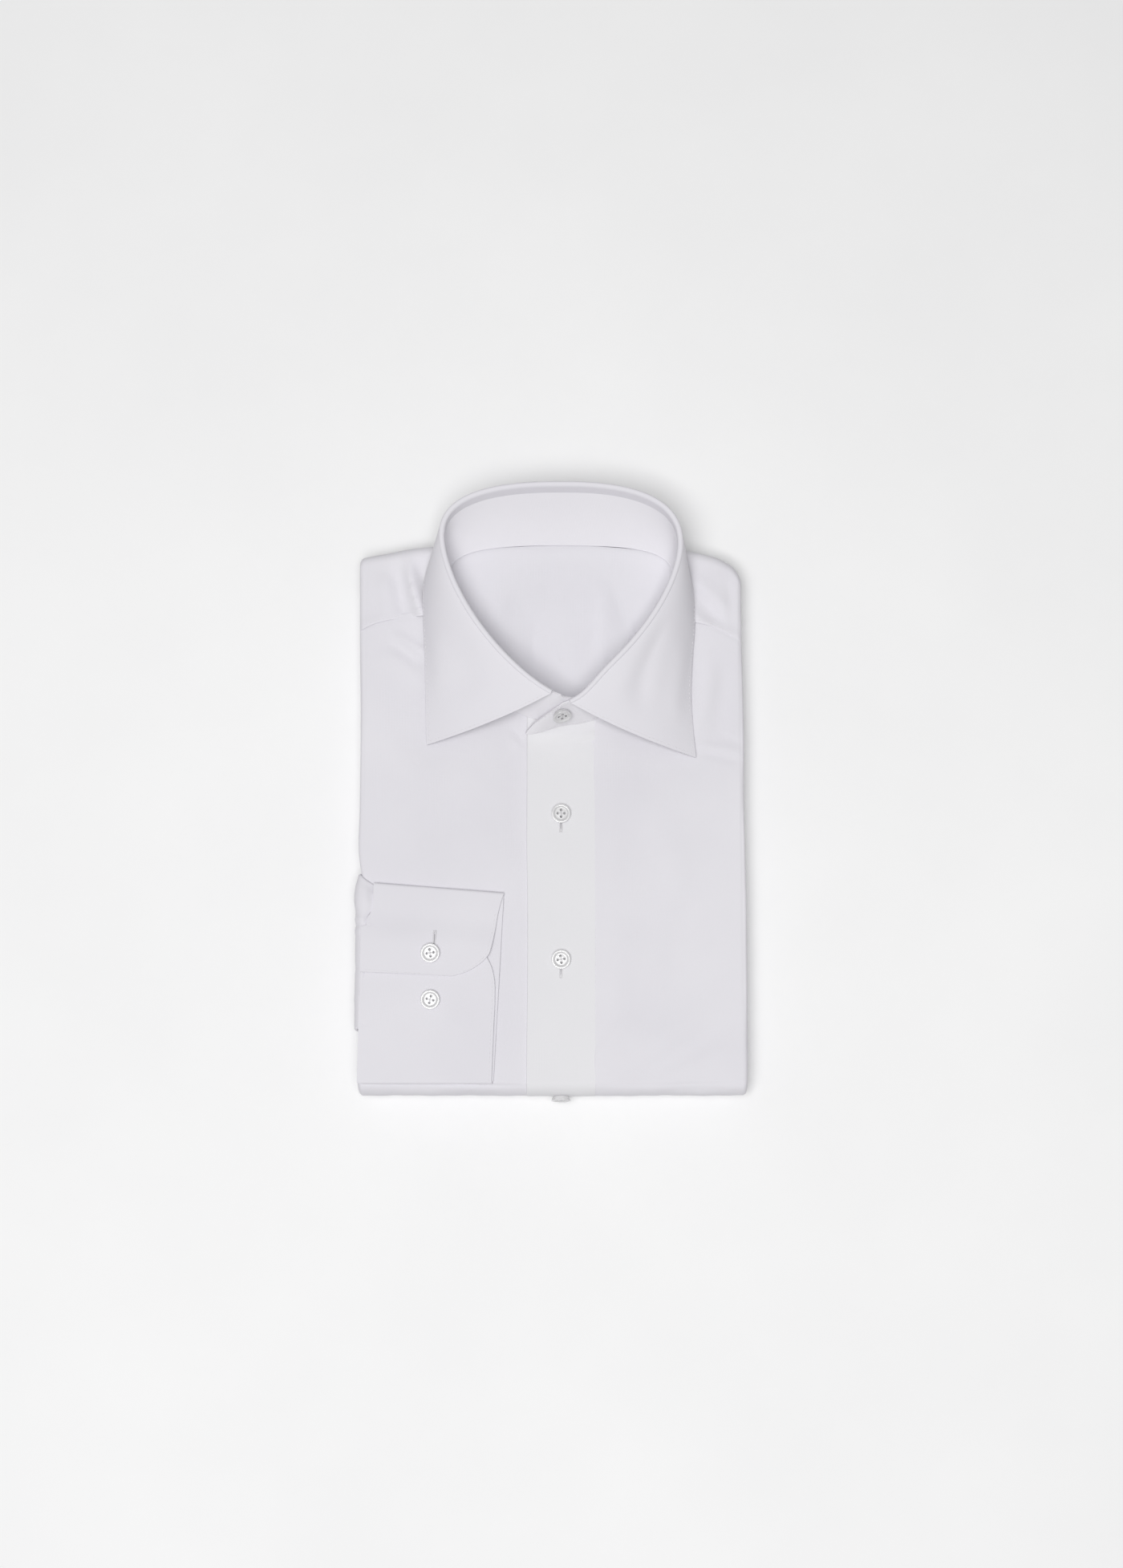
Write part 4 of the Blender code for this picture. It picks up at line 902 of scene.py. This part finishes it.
def leafGrid(turns):
    # Rows from the foot on the stand's top, round the roll and down to the leaf's edge
    behind = behindShare(turns)[:, None]
    top = neckRing(turns, standTop) + lapOffset(turns, np.ones(len(turns)))
    out = outward(turns, standTop)
    fromEnd = np.minimum(turns - leafPlan["startTurn"], leafPlan["endTurn"] - turns)
    fullness = eased(fromEnd, -12, 40)[:, None]
    up = unit(np.array([0, 0, 0.55]) + unit(top - neckRing(turns, standFoot)) * 0.5 * behind)
    roll = 0.85 + 0.35 * fullness
    centre = top + up * (2.5 + 2.9 * fullness) + out * (roll + 0.1)
    grid = [top + up * 0.2]
    for angle in np.linspace(0, math.pi, leafPlan["rollRows"]):
        grid.append(centre - out * roll * math.cos(angle) + up * roll * math.sin(angle))
    begin = grid[-1]
    edge = np.stack([smoothAt(leafEdge, "turn", axis, turns) for axis in "xyz"], axis=-1)
    across, down = (ahead + (rear - ahead) * behind for ahead, rear in leafPlan["bends"])
    bend = begin + (edge - begin) * np.concatenate([across, across, down], axis=1)
    bend[:, 1] -= leafPlan["bow"] * (1 - eased(fromEnd, 0, 24))
    for share in np.linspace(0, 1, leafPlan["fallRows"])[1:]:
        grid.append(begin * (1 - share) ** 2 + bend * 2 * share * (1 - share) + edge * share**2)
    return np.stack(grid)


def makeCollarLeaf():
    points = leafGrid(np.linspace(leafPlan["startTurn"], leafPlan["endTurn"], leafPlan["columns"]))
    share = np.clip((np.arange(len(points)) - leafPlan["rollRows"]) / leafPlan["fallRows"], 0, 1)[:, None]
    sway = creased(points, leafCreases) + unevenness(points, *leafPlan["waves"])
    points[..., 2] += sway * eased(share, 0.05, 0.35) * (1 - 0.7 * eased(share, 0.8, 1.0))
    middle = leafPlan["rollRows"] + leafPlan["fallRows"] // 2
    piece = clothPiece("collarLeaf", points, leafPlan["wall"], (middle, 40, (1, 0, 1)), offset=0.0)
    finishedSheet(piece, collarCloth, "collar_leaf")
    return points


standPoints = makeCollarStand()
leafPoints = makeCollarLeaf()
print("Collar ready")


# Cuff and sleeve

cuffCorners = {
    "seamTop": (-104.6, -36.0), "handTop": (-29.0, -42.0),
    "seamBottom": (-107.0, -153.4), "handBottom": (-34.8, -153.4),
}
cuffPlan = {
    "rest": 0.4, "wall": 1.1, "stepFrom": 0.118, "stepTo": 0.19, "stepReach": 0.066, "overSleeve": 0.108,
    "cornerReach": 0.62, "cornerDown": 0.31, "edgeReach": 0.918, "endDown": 0.449, "power": 1.35,
    "lowRise": 0.7, "midRise": 2.4, "topRise": 4.1, "turnedIn": 0.012, "turnDeep": 0.010, "turnStart": 0.2,
    "underStart": 0.30, "upperPast": 0.02, "puff": 0.35, "waves": (30, 0.08, 21),
}
cuffCreases = table(
    creaseColumns,
    (-111.2, -52, -110.6, -63, 0.7, -0.22), (-109.4, -52, -109, -62, 0.7, 0.18),
    (-107.6, -52, -107.4, -61, 0.7, -0.2), (-111.8, -89, -113.2, -108, 0.7, -0.3),
    (-116, -118.6, -108.6, -118.8, 0.7, -0.3), (-60, -60, -96, -72, 8, 0.16),
    (-50, -110, -90, -140, 10, 0.2, 0, 3),
)
overlapEdge = table(
    "down reach",
    (0, 1), (0.03, 0.988), (0.117, 0.962), (0.206, 0.947), (0.27, 0.931), (0.31, 0.918),
)
underlapEdge = table(
    "down reach",
    (0.3, 0.8), (0.33, 0.875), (0.366, 0.915), (0.41, 0.945), (0.465, 0.965), (0.55, 0.975), (0.71, 0.978),
    (1, 0.985),
)


def cuffPlace(across, down, rise):
    corners = {name: np.array(place) for name, place in cuffCorners.items()}
    across, down = np.asarray(across)[..., None], np.asarray(down)[..., None]
    top = corners["seamTop"] + (corners["handTop"] - corners["seamTop"]) * across
    bottom = corners["seamBottom"] + (corners["handBottom"] - corners["seamBottom"]) * across
    flat = top + (bottom - top) * down
    height = np.broadcast_to(stack["thick"] + cuffPlan["rest"] + np.asarray(rise), flat.shape[:-1])
    return np.concatenate([flat, height[..., None]], axis=-1)


def cuffWinding():
    # From the overlap's free end up over the top fold, down behind, round the bottom fold and up in front
    plan, rows = cuffPlan, []
    low, mid, top = plan["lowRise"], plan["midRise"], plan["topRise"]
    turned, deep = plan["turnedIn"], plan["turnDeep"]
    for angle in np.linspace(0, math.pi / 2, 20)[:-1]:
        sine, cosine = math.sin(angle) ** plan["power"], math.cos(angle) ** plan["power"]
        reach = plan["cornerReach"] + (plan["edgeReach"] - plan["cornerReach"]) * sine
        rows.append((plan["cornerDown"] + (plan["endDown"] - plan["cornerDown"]) * cosine, top, reach))
    for down in np.linspace(plan["cornerDown"], turned, 32):
        rise = mid + (top - mid) * float(eased(down, 0.14, 0.3))
        rows.append((down, rise, float(smoothAt(overlapEdge, "down", "reach", down))))
    radius, middle = (mid - low) / 2, (mid + low) / 2
    turns = np.linspace(plan["turnStart"], math.pi - plan["turnStart"], 9)
    for angle in turns:
        rows.append((deep - deep * math.sin(angle), middle + radius * math.cos(angle), 1.0))
    for down in np.linspace(turned, 1 - turned, 40):
        rows.append((down, low, 1.0))
    for angle in turns:
        down = 1 - deep + deep * math.sin(angle)
        rows.append((down, middle - radius * math.cos(angle), 1.0 - 0.015 * angle / math.pi))
    for down in np.linspace(1 - turned, plan["underStart"], 60):
        rows.append((down, mid, float(smoothAt(underlapEdge, "down", "reach", down))))
    return rows


def pastSeam(down):  # 0 above the step in the cuff's seam edge, 1 below it
    return eased((down - cuffPlan["stepFrom"]) / (cuffPlan["stepTo"] - cuffPlan["stepFrom"]), 0.0, 1.0)


def makeCuff():
    plan = cuffPlan
    down, rise, reach = (np.array(values)[:, None] for values in zip(*cuffWinding()))
    isUpper = rise > 2.0
    below = np.where(rise > 3.2, 1.0, eased(down, 0.44, 0.56))
    reachOut = plan["stepReach"] + (plan["overSleeve"] - plan["stepReach"]) * below * isUpper
    start = -reachOut * pastSeam(down) - plan["upperPast"] * isUpper * (1 - pastSeam(down))
    columns = np.concatenate([np.linspace(0, 0.9, 52, endpoint=False), np.linspace(0.9, 1, 16)])
    points = cuffPlace(start + (reach - start) * columns, down, rise)
    puff = plan["puff"] * np.sin(np.pi * columns) * np.sin(np.pi * np.clip(down, 0, 1))
    puff = puff + unevenness(points, *plan["waves"])
    points[..., 2] += (puff + creased(points, cuffCreases)) * isUpper
    piece = clothPiece("cuffRight", points, plan["wall"], (24, 30, (0, 0, 1)), offset=0.0)
    finishedSheet(piece, shirtCloth, "cuff_right")
    return points


sleevePlan = {
    "thick": 1.5, "topBulge": 0.9, "edgeShare": 0.4, "edgeSunk": 1.3, "flatColumns": 70, "rows": 64,
    "bulgeTo": (46.0, 53.0), "thinTo": 7.0, "sunkTo": 13.0, "leaveCuff": (0.4, 2.0), "fromSeam": 0.02,
}
sleevePath = table(
    "x z top bottom follow",
    (-104.4, 27.05, -37.5, -119, 1), (-108.6, 27.95, -35.5, -119.6, 0.58),
    (-111.8, 27.8, -33.5, -120.4, 0.22), (-113.9, 26.9, -32, -121, 0.03), (-115.3, 25.1, -31, -121.6, 0),
    (-115.8, 22.8, -30.4, -122, 0), (-115.8, 19.4, -30, -122.2, 0), (-115.6, 16, -29.6, -122.2, 0),
    (-114.7, 14, -29.4, -122.2, 0), (-113, 13.1, -29.2, -122, 0), (-110.8, 13, -29, -121.8, 0),
    (-104.8, 13, -28.8, -121.6, 0),
)
sleevePleats = table(
    "y width height",
    (-57, 1.3, 0.5), (-60.5, 1, -0.45), (-64, 1.4, 0.4), (-86, 2.5, -0.35), (-104, 3, 0.3),
)


def cuffLean(y):  # how far the cuff's seam edge lies left of its top corner
    topY, bottomY = cuffCorners["seamTop"][1], cuffCorners["seamBottom"][1]
    down = (topY - y) / (topY - bottomY)
    start = -cuffPlan["stepReach"] * pastSeam(down + sleevePlan["fromSeam"])
    return cuffPlace(start, down, 0.0)[..., 0] - cuffCorners["seamTop"][0]


def makeSleeve():
    stations = [dict(row, at=index) for index, row in enumerate(sleevePath)]
    at = np.linspace(0, len(stations) - 1, sleevePlan["rows"])
    value = {key: smoothAt(stations, "at", key, at) for key in ("x", "z", "top", "bottom", "follow")}
    path = np.stack([value["x"], 0 * at, value["z"]], axis=-1)
    along = unit(np.gradient(path, axis=0))
    normal = np.stack([along[:, 2], 0 * at, -along[:, 0]], axis=-1)
    radius = sleevePlan["thick"] / 2
    ring = []  # one turn round the flattened tube: the share across, what lies beyond, and the way out
    for end in (0, 1):
        for angle in np.linspace(0, math.pi, 8)[:-1] + math.pi * end:
            ring.append((end, radius * math.sin(angle), radius * math.cos(angle)))
        for step in np.linspace(0, 1, sleevePlan["flatColumns"], endpoint=False):
            ring.append((end + step, 0.0, radius * (2 * end - 1)))
    share, beyond, off = np.array([*ring, ring[0]]).T
    share = np.where(share <= 1, share, 2 - share)
    length = (value["bottom"] - value["top"] + 2 * radius)[:, None]
    y = (value["top"] - radius)[:, None] + length * share + beyond
    pleats = sleevePlan["topBulge"] * (1 - eased(-y, *sleevePlan["bulgeTo"]))
    pleats = pleats + sum(p["height"] * np.exp(-(((y - p["y"]) / p["width"]) ** 2)) for p in sleevePleats)
    fromTop = value["top"][:, None] - y
    thin = sleevePlan["edgeShare"] + (1 - sleevePlan["edgeShare"]) * eased(fromTop, 0.0, sleevePlan["thinTo"])
    sunk = sleevePlan["edgeSunk"] * (1 - eased(fromTop, 0.0, sleevePlan["sunkTo"]))
    fromCuff = eased(at, *sleevePlan["leaveCuff"])[:, None]
    height = (off + pleats * np.clip(off / radius, 0, 1) * fromCuff) * thin - sunk
    points = path[:, None, :] + normal[:, None, :] * height[..., None]
    points[..., 0] += cuffLean(y) * value["follow"][:, None]
    points[..., 1] = y
    piece = clothPiece("sleeveRight", points, stack["cloth"], (20, 66, (-1, 0, 0)), closed=True)
    finishedSheet(piece, shirtCloth, "sleeve_right")


cuffPoints = makeCuff()
makeSleeve()
print("Cuff and sleeve ready")


# Buttons

buttonPlan = {
    "width": 11.4, "thick": 2.6, "rim": 1.3, "dish": 0.7, "dishSlope": 0.7, "boss": 1.2, "bossRise": 0.08,
    "backRim": 0.9, "backSunk": 0.35, "backTaper": 0.86, "rounding": 0.32,
    "hole": 1.5, "spacing": 4.0, "drill": 8.0,
}
threadPlan = {
    "width": 0.18, "apart": 0.2, "above": 0.2, "past": 0.35, "dips": 2.2, "dipFrom": 0.82, "arch": 0.12,
    "over": 0.22,
}
buttonSpins = {
    "button_front_1": 0, "button_front_2": 8, "button_fold": -5,
    "button_cuff_1": 10, "button_cuff_2": -14, "button_collar": 4,
}


def selectFaces(piece, test):
    bpy.ops.mesh.select_all(action="DESELECT")
    bpy.ops.object.mode_set(mode="OBJECT")
    for face in piece.data.polygons:
        face.select = bool(test(face))
    bpy.ops.object.mode_set(mode="EDIT")
    bpy.context.tool_settings.mesh_select_mode = (False, False, True)


def modelButton():
    plan = {key: value * mm for key, value in buttonPlan.items()}
    button = cylinder(64, plan["width"] / 2, plan["thick"], (0, 0, plan["thick"] / 2))
    bpy.ops.object.transform_apply(location=True, rotation=False, scale=False)
    bpy.ops.object.mode_set(mode="EDIT")
    selectFaces(button, lambda face: face.normal.z > 0.9)
    bpy.ops.mesh.inset(thickness=plan["rim"], depth=0)
    bpy.ops.mesh.inset(thickness=plan["dishSlope"], depth=-plan["dish"])
    bpy.ops.mesh.inset(thickness=plan["boss"], depth=plan["bossRise"])
    selectFaces(button, lambda face: face.normal.z < -0.9)
    bpy.ops.mesh.inset(thickness=plan["backRim"], depth=plan["backSunk"])
    bpy.ops.object.mode_set(mode="OBJECT")
    for vert in button.data.vertices:  # the side tapers in towards the back
        if vert.co.z < 0.1 * mm:
            vert.co.xy *= buttonPlan["backTaper"]
    soften = button.modifiers.new("Soften", "BEVEL")
    soften.width = plan["rounding"]
    soften.segments = 3
    soften.limit_method = "ANGLE"
    soften.angle_limit = math.radians(28)
    applyAll(button)
    for index in range(4):
        angle = math.pi / 2 * index
        place = Vector((math.cos(angle), math.sin(angle), 0)) * plan["spacing"] / 2
        drill = cylinder(24, plan["hole"] / 2, plan["drill"], place)
        applyAll(cutBy(button, drill))
        bpy.data.objects.remove(drill, do_unlink=True)
    return smoothShaded(button, 28)


def modelButtonThread():
    # Two strands over each pair of opposite holes, dipping into them
    plan = {key: value * mm for key, value in threadPlan.items()}
    lift = (buttonPlan["thick"] - buttonPlan["dish"]) * mm + plan["above"]
    half = buttonPlan["spacing"] / 2 * mm + plan["past"]
    strands = []
    for turn, shift in ((turn, shift) for turn in (0, 1) for shift in (-plan["apart"], plan["apart"])):
        strand = cylinder(10, plan["width"] / 2, 1.0)
        bpy.ops.object.mode_set(mode="EDIT")
        bpy.ops.mesh.select_all(action="SELECT")
        bpy.ops.mesh.bisect(plane_co=(0, 0, 0), plane_no=(0, 0, 1))
        bpy.ops.object.mode_set(mode="OBJECT")
        divide = strand.modifiers.new("Divide", "SUBSURF")
        divide.subdivision_type = "SIMPLE"
        divide.levels = divide.render_levels = 3
        applyAll(strand)
        for vert in strand.data.vertices:
            along = vert.co.z * 2
            dip = max(0.0, (abs(along) - threadPlan["dipFrom"]) / (1 - threadPlan["dipFrom"])) ** 1.5
            rise = vert.co.x + lift + plan["arch"] * (1 - along * along) - plan["dips"] * dip
            x, y, z = along * half, vert.co.y + shift, rise + plan["over"] * turn
            vert.co = (-y, x, z) if turn else (x, y, z)
        strands.append(strand)
    return smoothShaded(closeHoles(joined(strands, "threadForm"), False), 60)


def seatOf(node):
    # A button's axis and underside, read from its solid
    verts = np.array([vert.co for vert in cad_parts[node].data.vertices])
    middle = verts.mean(axis=0)
    axis = np.linalg.svd(verts - middle, full_matrices=False)[2][2]
    if np.dot(axis, (0, -0.6, 1)) < 0:
        axis = -axis
    low = ((verts - middle) @ axis).min()
    return Vector(middle + axis * low), Vector(axis)


def inHole(face):  # a wall of one of the four holes, which gets the painted hole shade
    out = math.hypot(face.center.x, face.center.y) / mm
    return abs(face.normal.z) < 0.4 and out < buttonPlan["spacing"] / 2 + buttonPlan["hole"]


def placeButtons():
    button, thread = modelButton(), modelButtonThread()
    for node, spin in buttonSpins.items():
        seat, axis = seatOf(node)
        turn = Vector((0, 0, 1)).rotation_difference(axis).to_matrix().to_4x4()
        place = Matrix.Translation(seat) @ turn @ Matrix.Rotation(math.radians(spin), 4, "Z")
        short = node.removeprefix("button_").replace("_", "")
        copies = []
        for form, kind in ((button, "button"), (thread, "thread")):
            copies.append(linked(kind + short, form.data.copy()))
            copies[-1].data.transform(place)
        finished(copies[0], buttonResin, [node])
        # The holes' walls get the painted shade
        copies[0].data.materials.append(paintedHoleShade)
        for face, shape in zip(copies[0].data.polygons, button.data.polygons):
            face.material_index = int(inHole(shape))
        finished(copies[1], sewingThread)
    for form in (button, thread):
        bpy.data.objects.remove(form, do_unlink=True)


placeButtons()
print("Buttons ready")


# Sewing

stitchPlan = {"length": 2.0, "gap": 0.55, "radius": 0.17, "lift": 0.03, "off": 0.02, "look": 0.4}
seamInsets = {"leaf": 1.7, "cuff": 1.6, "yoke": 1.6, "stand": 1.4}


def onGrid(points, row, column):
    # The place and the cloth's outward way at fractional rows and columns
    row = np.clip(np.asarray(row, float), 0, points.shape[0] - 1.001)
    column = np.clip(np.asarray(column, float), 0, points.shape[1] - 1.001)
    r, c = row.astype(int), column.astype(int)
    fr, fc = (row - r)[:, None], (column - c)[:, None]
    corner = points[r, c], points[r, c + 1], points[r + 1, c], points[r + 1, c + 1]
    place = (corner[0] * (1 - fc) + corner[1] * fc) * (1 - fr) + (corner[2] * (1 - fc) + corner[3] * fc) * fr
    return place, unit(np.cross(corner[1] - corner[0], corner[2] - corner[0]))


def insetIndex(lengths, inset, fromEnd):
    # For each line of lengths, the fractional index that lies this far from one end
    return np.array([
        np.interp(line[-1] - inset if fromEnd else inset, line, np.arange(len(line))) for line in lengths
    ])


def rowSeam(points, columns, inset, fromEnd):  # a line this far in from the last row or the first
    return onGrid(points, insetIndex(lengthsAlong(points, 0).T[columns], inset, fromEnd), columns)


def columnSeam(points, rows, inset, fromEnd):  # a line this far in from the last column or the first
    return onGrid(points, rows, insetIndex(lengthsAlong(points, 1)[rows], inset, fromEnd))


def stitchForm():
    bpy.ops.mesh.primitive_uv_sphere_add(segments=6, ring_count=5, radius=1.0)
    ball = bpy.context.object
    verts = np.array([vert.co for vert in ball.data.vertices])
    faces = [list(face.vertices) for face in ball.data.polygons]
    bpy.data.objects.remove(ball, do_unlink=True)
    return verts, faces


stitchVerts, stitchFaces = stitchForm()


def barsMesh(name, centre, along, up, length, radius):
    # A small rounded bar at each centre
    ways = np.stack([along * length / 2, np.cross(up, along) * radius, up * radius], axis=1)
    verts = centre[:, None, :] + np.einsum("vk,nkx->nvx", stitchVerts, ways)
    size = len(stitchVerts)
    faces = [[index + size * copy for index in face] for copy in range(len(centre)) for face in stitchFaces]
    return meshPiece(name, verts, faces)


def sewnLines(name, lines):
    parts = []
    size = stitchPlan["length"], stitchPlan["radius"]
    for index, (place, normal) in enumerate(lines):
        total = lengthsAlong(place[None], 1)[0]
        count = max(int(total[-1] / (stitchPlan["length"] + stitchPlan["gap"])), 1)
        at = (np.arange(count) + 0.5) * total[-1] / count

        def sampled(values, shift=0.0):
            return np.stack([np.interp(at + shift, total, values[:, axis]) for axis in range(3)], axis=-1)

        along = unit(sampled(place, stitchPlan["look"]) - sampled(place, -stitchPlan["look"]))
        up = unit(sampled(normal))
        centre = sampled(place) + up * stitchPlan["lift"]
        parts.append(barsMesh(f"{name}{index}", centre, along, up, *size))
    finished(smoothShaded(joined(parts, name), 60), sewingThread)


def facingOut(place, normal, way, wall):
    # Turns the normals towards a side and moves the line onto the cloth's face there
    sign = np.sign((normal * way).sum(axis=1))[:, None]
    normal = normal * np.where(sign == 0, 1, sign)
    return place + normal * (wall / 2 + stitchPlan["off"]), normal


def leafStitching():
    inset, (rows, columns) = seamInsets["leaf"], leafPoints.shape[:2]
    fall = np.arange(leafPlan["rollRows"] + 2, rows - 1)
    lines = []
    for place, normal in (
        rowSeam(leafPoints, np.arange(1, columns - 1), inset, True),
        columnSeam(leafPoints, fall, inset, True),
        columnSeam(leafPoints, fall, inset, False),
    ):
        away = place - np.array([stack["centreX"], neckToolPlan["middleY"], 0.0])
        away[:, 2] = 30.0
        lines.append(facingOut(place, normal, away, leafPlan["wall"]))
    sewnLines("collarStitching", lines)


def cuffStitching():
    inset, rows = seamInsets["cuff"], len(cuffPoints)
    seams = (
        columnSeam(cuffPoints, np.arange(6, 41), inset, True),
        rowSeam(cuffPoints, np.arange(2, 44), inset, False),
        columnSeam(cuffPoints, np.arange(rows - 62, rows - 12), inset, True),
    )
    lines = [facingOut(*seam, (0, 0, 1), cuffPlan["wall"]) for seam in seams]
    sewnLines("cuffStitching", lines)


def yokeStitching():
    seam = rowSeam(yokePoints, np.arange(20, yokePoints.shape[1] - 20), seamInsets["yoke"], False)
    place, normal = facingOut(*seam, (0, 0, 1), 0.0)
    lines = [(place[side], normal[side]) for side in (place[:, 0] < -69, place[:, 0] > 79)]
    sewnLines("yokeStitching", lines)


def standStitching():
    lines = []
    for fromEnd in (False, True):
        seam = rowSeam(standPoints, np.arange(3, 66), seamInsets["stand"], fromEnd)
        lines.append(facingOut(*seam, (0, -1, 0.4), standPlan["wall"]))
    sewnLines("standStitching", lines)


leafStitching()
cuffStitching()
yokeStitching()
standStitching()


holePlan = {
    "length": 15.0, "bar": (1.0, 0.2), "pitch": 0.36, "spread": 0.62, "slit": 0.3, "slitShort": 1.4,
    "tackHalf": 0.75, "tackBars": 5, "slitUp": 0.03, "barUp": 0.05, "tackUp": 0.07,
}


def buttonhole(name, centre, along, up):
    # Two rows of close bars beside a slit, with a bar tack at each end
    centre, along, up = np.asarray(centre, float), unit(np.asarray(along, float)), unit(np.asarray(up, float))
    side = np.cross(up, along)
    half = holePlan["length"] / 2
    at = np.arange(-half + 0.5, half - 0.4, holePlan["pitch"])[:, None]
    tack = np.linspace(-holePlan["tackHalf"], holePlan["tackHalf"], holePlan["tackBars"])[:, None]
    centres, ways = [], []
    for sign in (-1, 1):
        centres.append(centre + at * along + sign * side * holePlan["spread"] + up * holePlan["barUp"])
        ways.append(np.tile(side, (len(at), 1)))
    for end in (-1, 1):
        centres.append(centre + end * along * (half - 0.1) + side * tack + up * holePlan["tackUp"])
        ways.append(np.tile(along, (len(tack), 1)))
    centres, ways = np.concatenate(centres), np.concatenate(ways)
    bars = barsMesh(name, centres, ways, np.tile(up, (len(centres), 1)), *holePlan["bar"])
    slitLength, slitAt = holePlan["length"] - holePlan["slitShort"], centre + up * holePlan["slitUp"]
    slit = barsMesh(name + "Slit", slitAt[None], along[None], up[None], slitLength, holePlan["slit"] / 2)
    finished(smoothShaded(bars, 60), sewingThread)
    finished(smoothShaded(slit, 60), slitShade)


buttonholes = (
    ("frontHole1", "button_front_1", (0.0, -3.4, -0.25), (0.02, 1, 0)),
    ("frontHole2", "button_front_2", (0.0, -3.4, -0.25), (0.02, 1, 0)),
    ("cuffHole", "button_cuff_1", (2.2, 5.6, -0.25), (0.06, 1, 0)),
)
for holeName, buttonNode, shift, way in buttonholes:
    seat, axis = seatOf(buttonNode)
    buttonhole(holeName, np.array(seat) / mm + shift, way, axis)
print("Sewing ready")
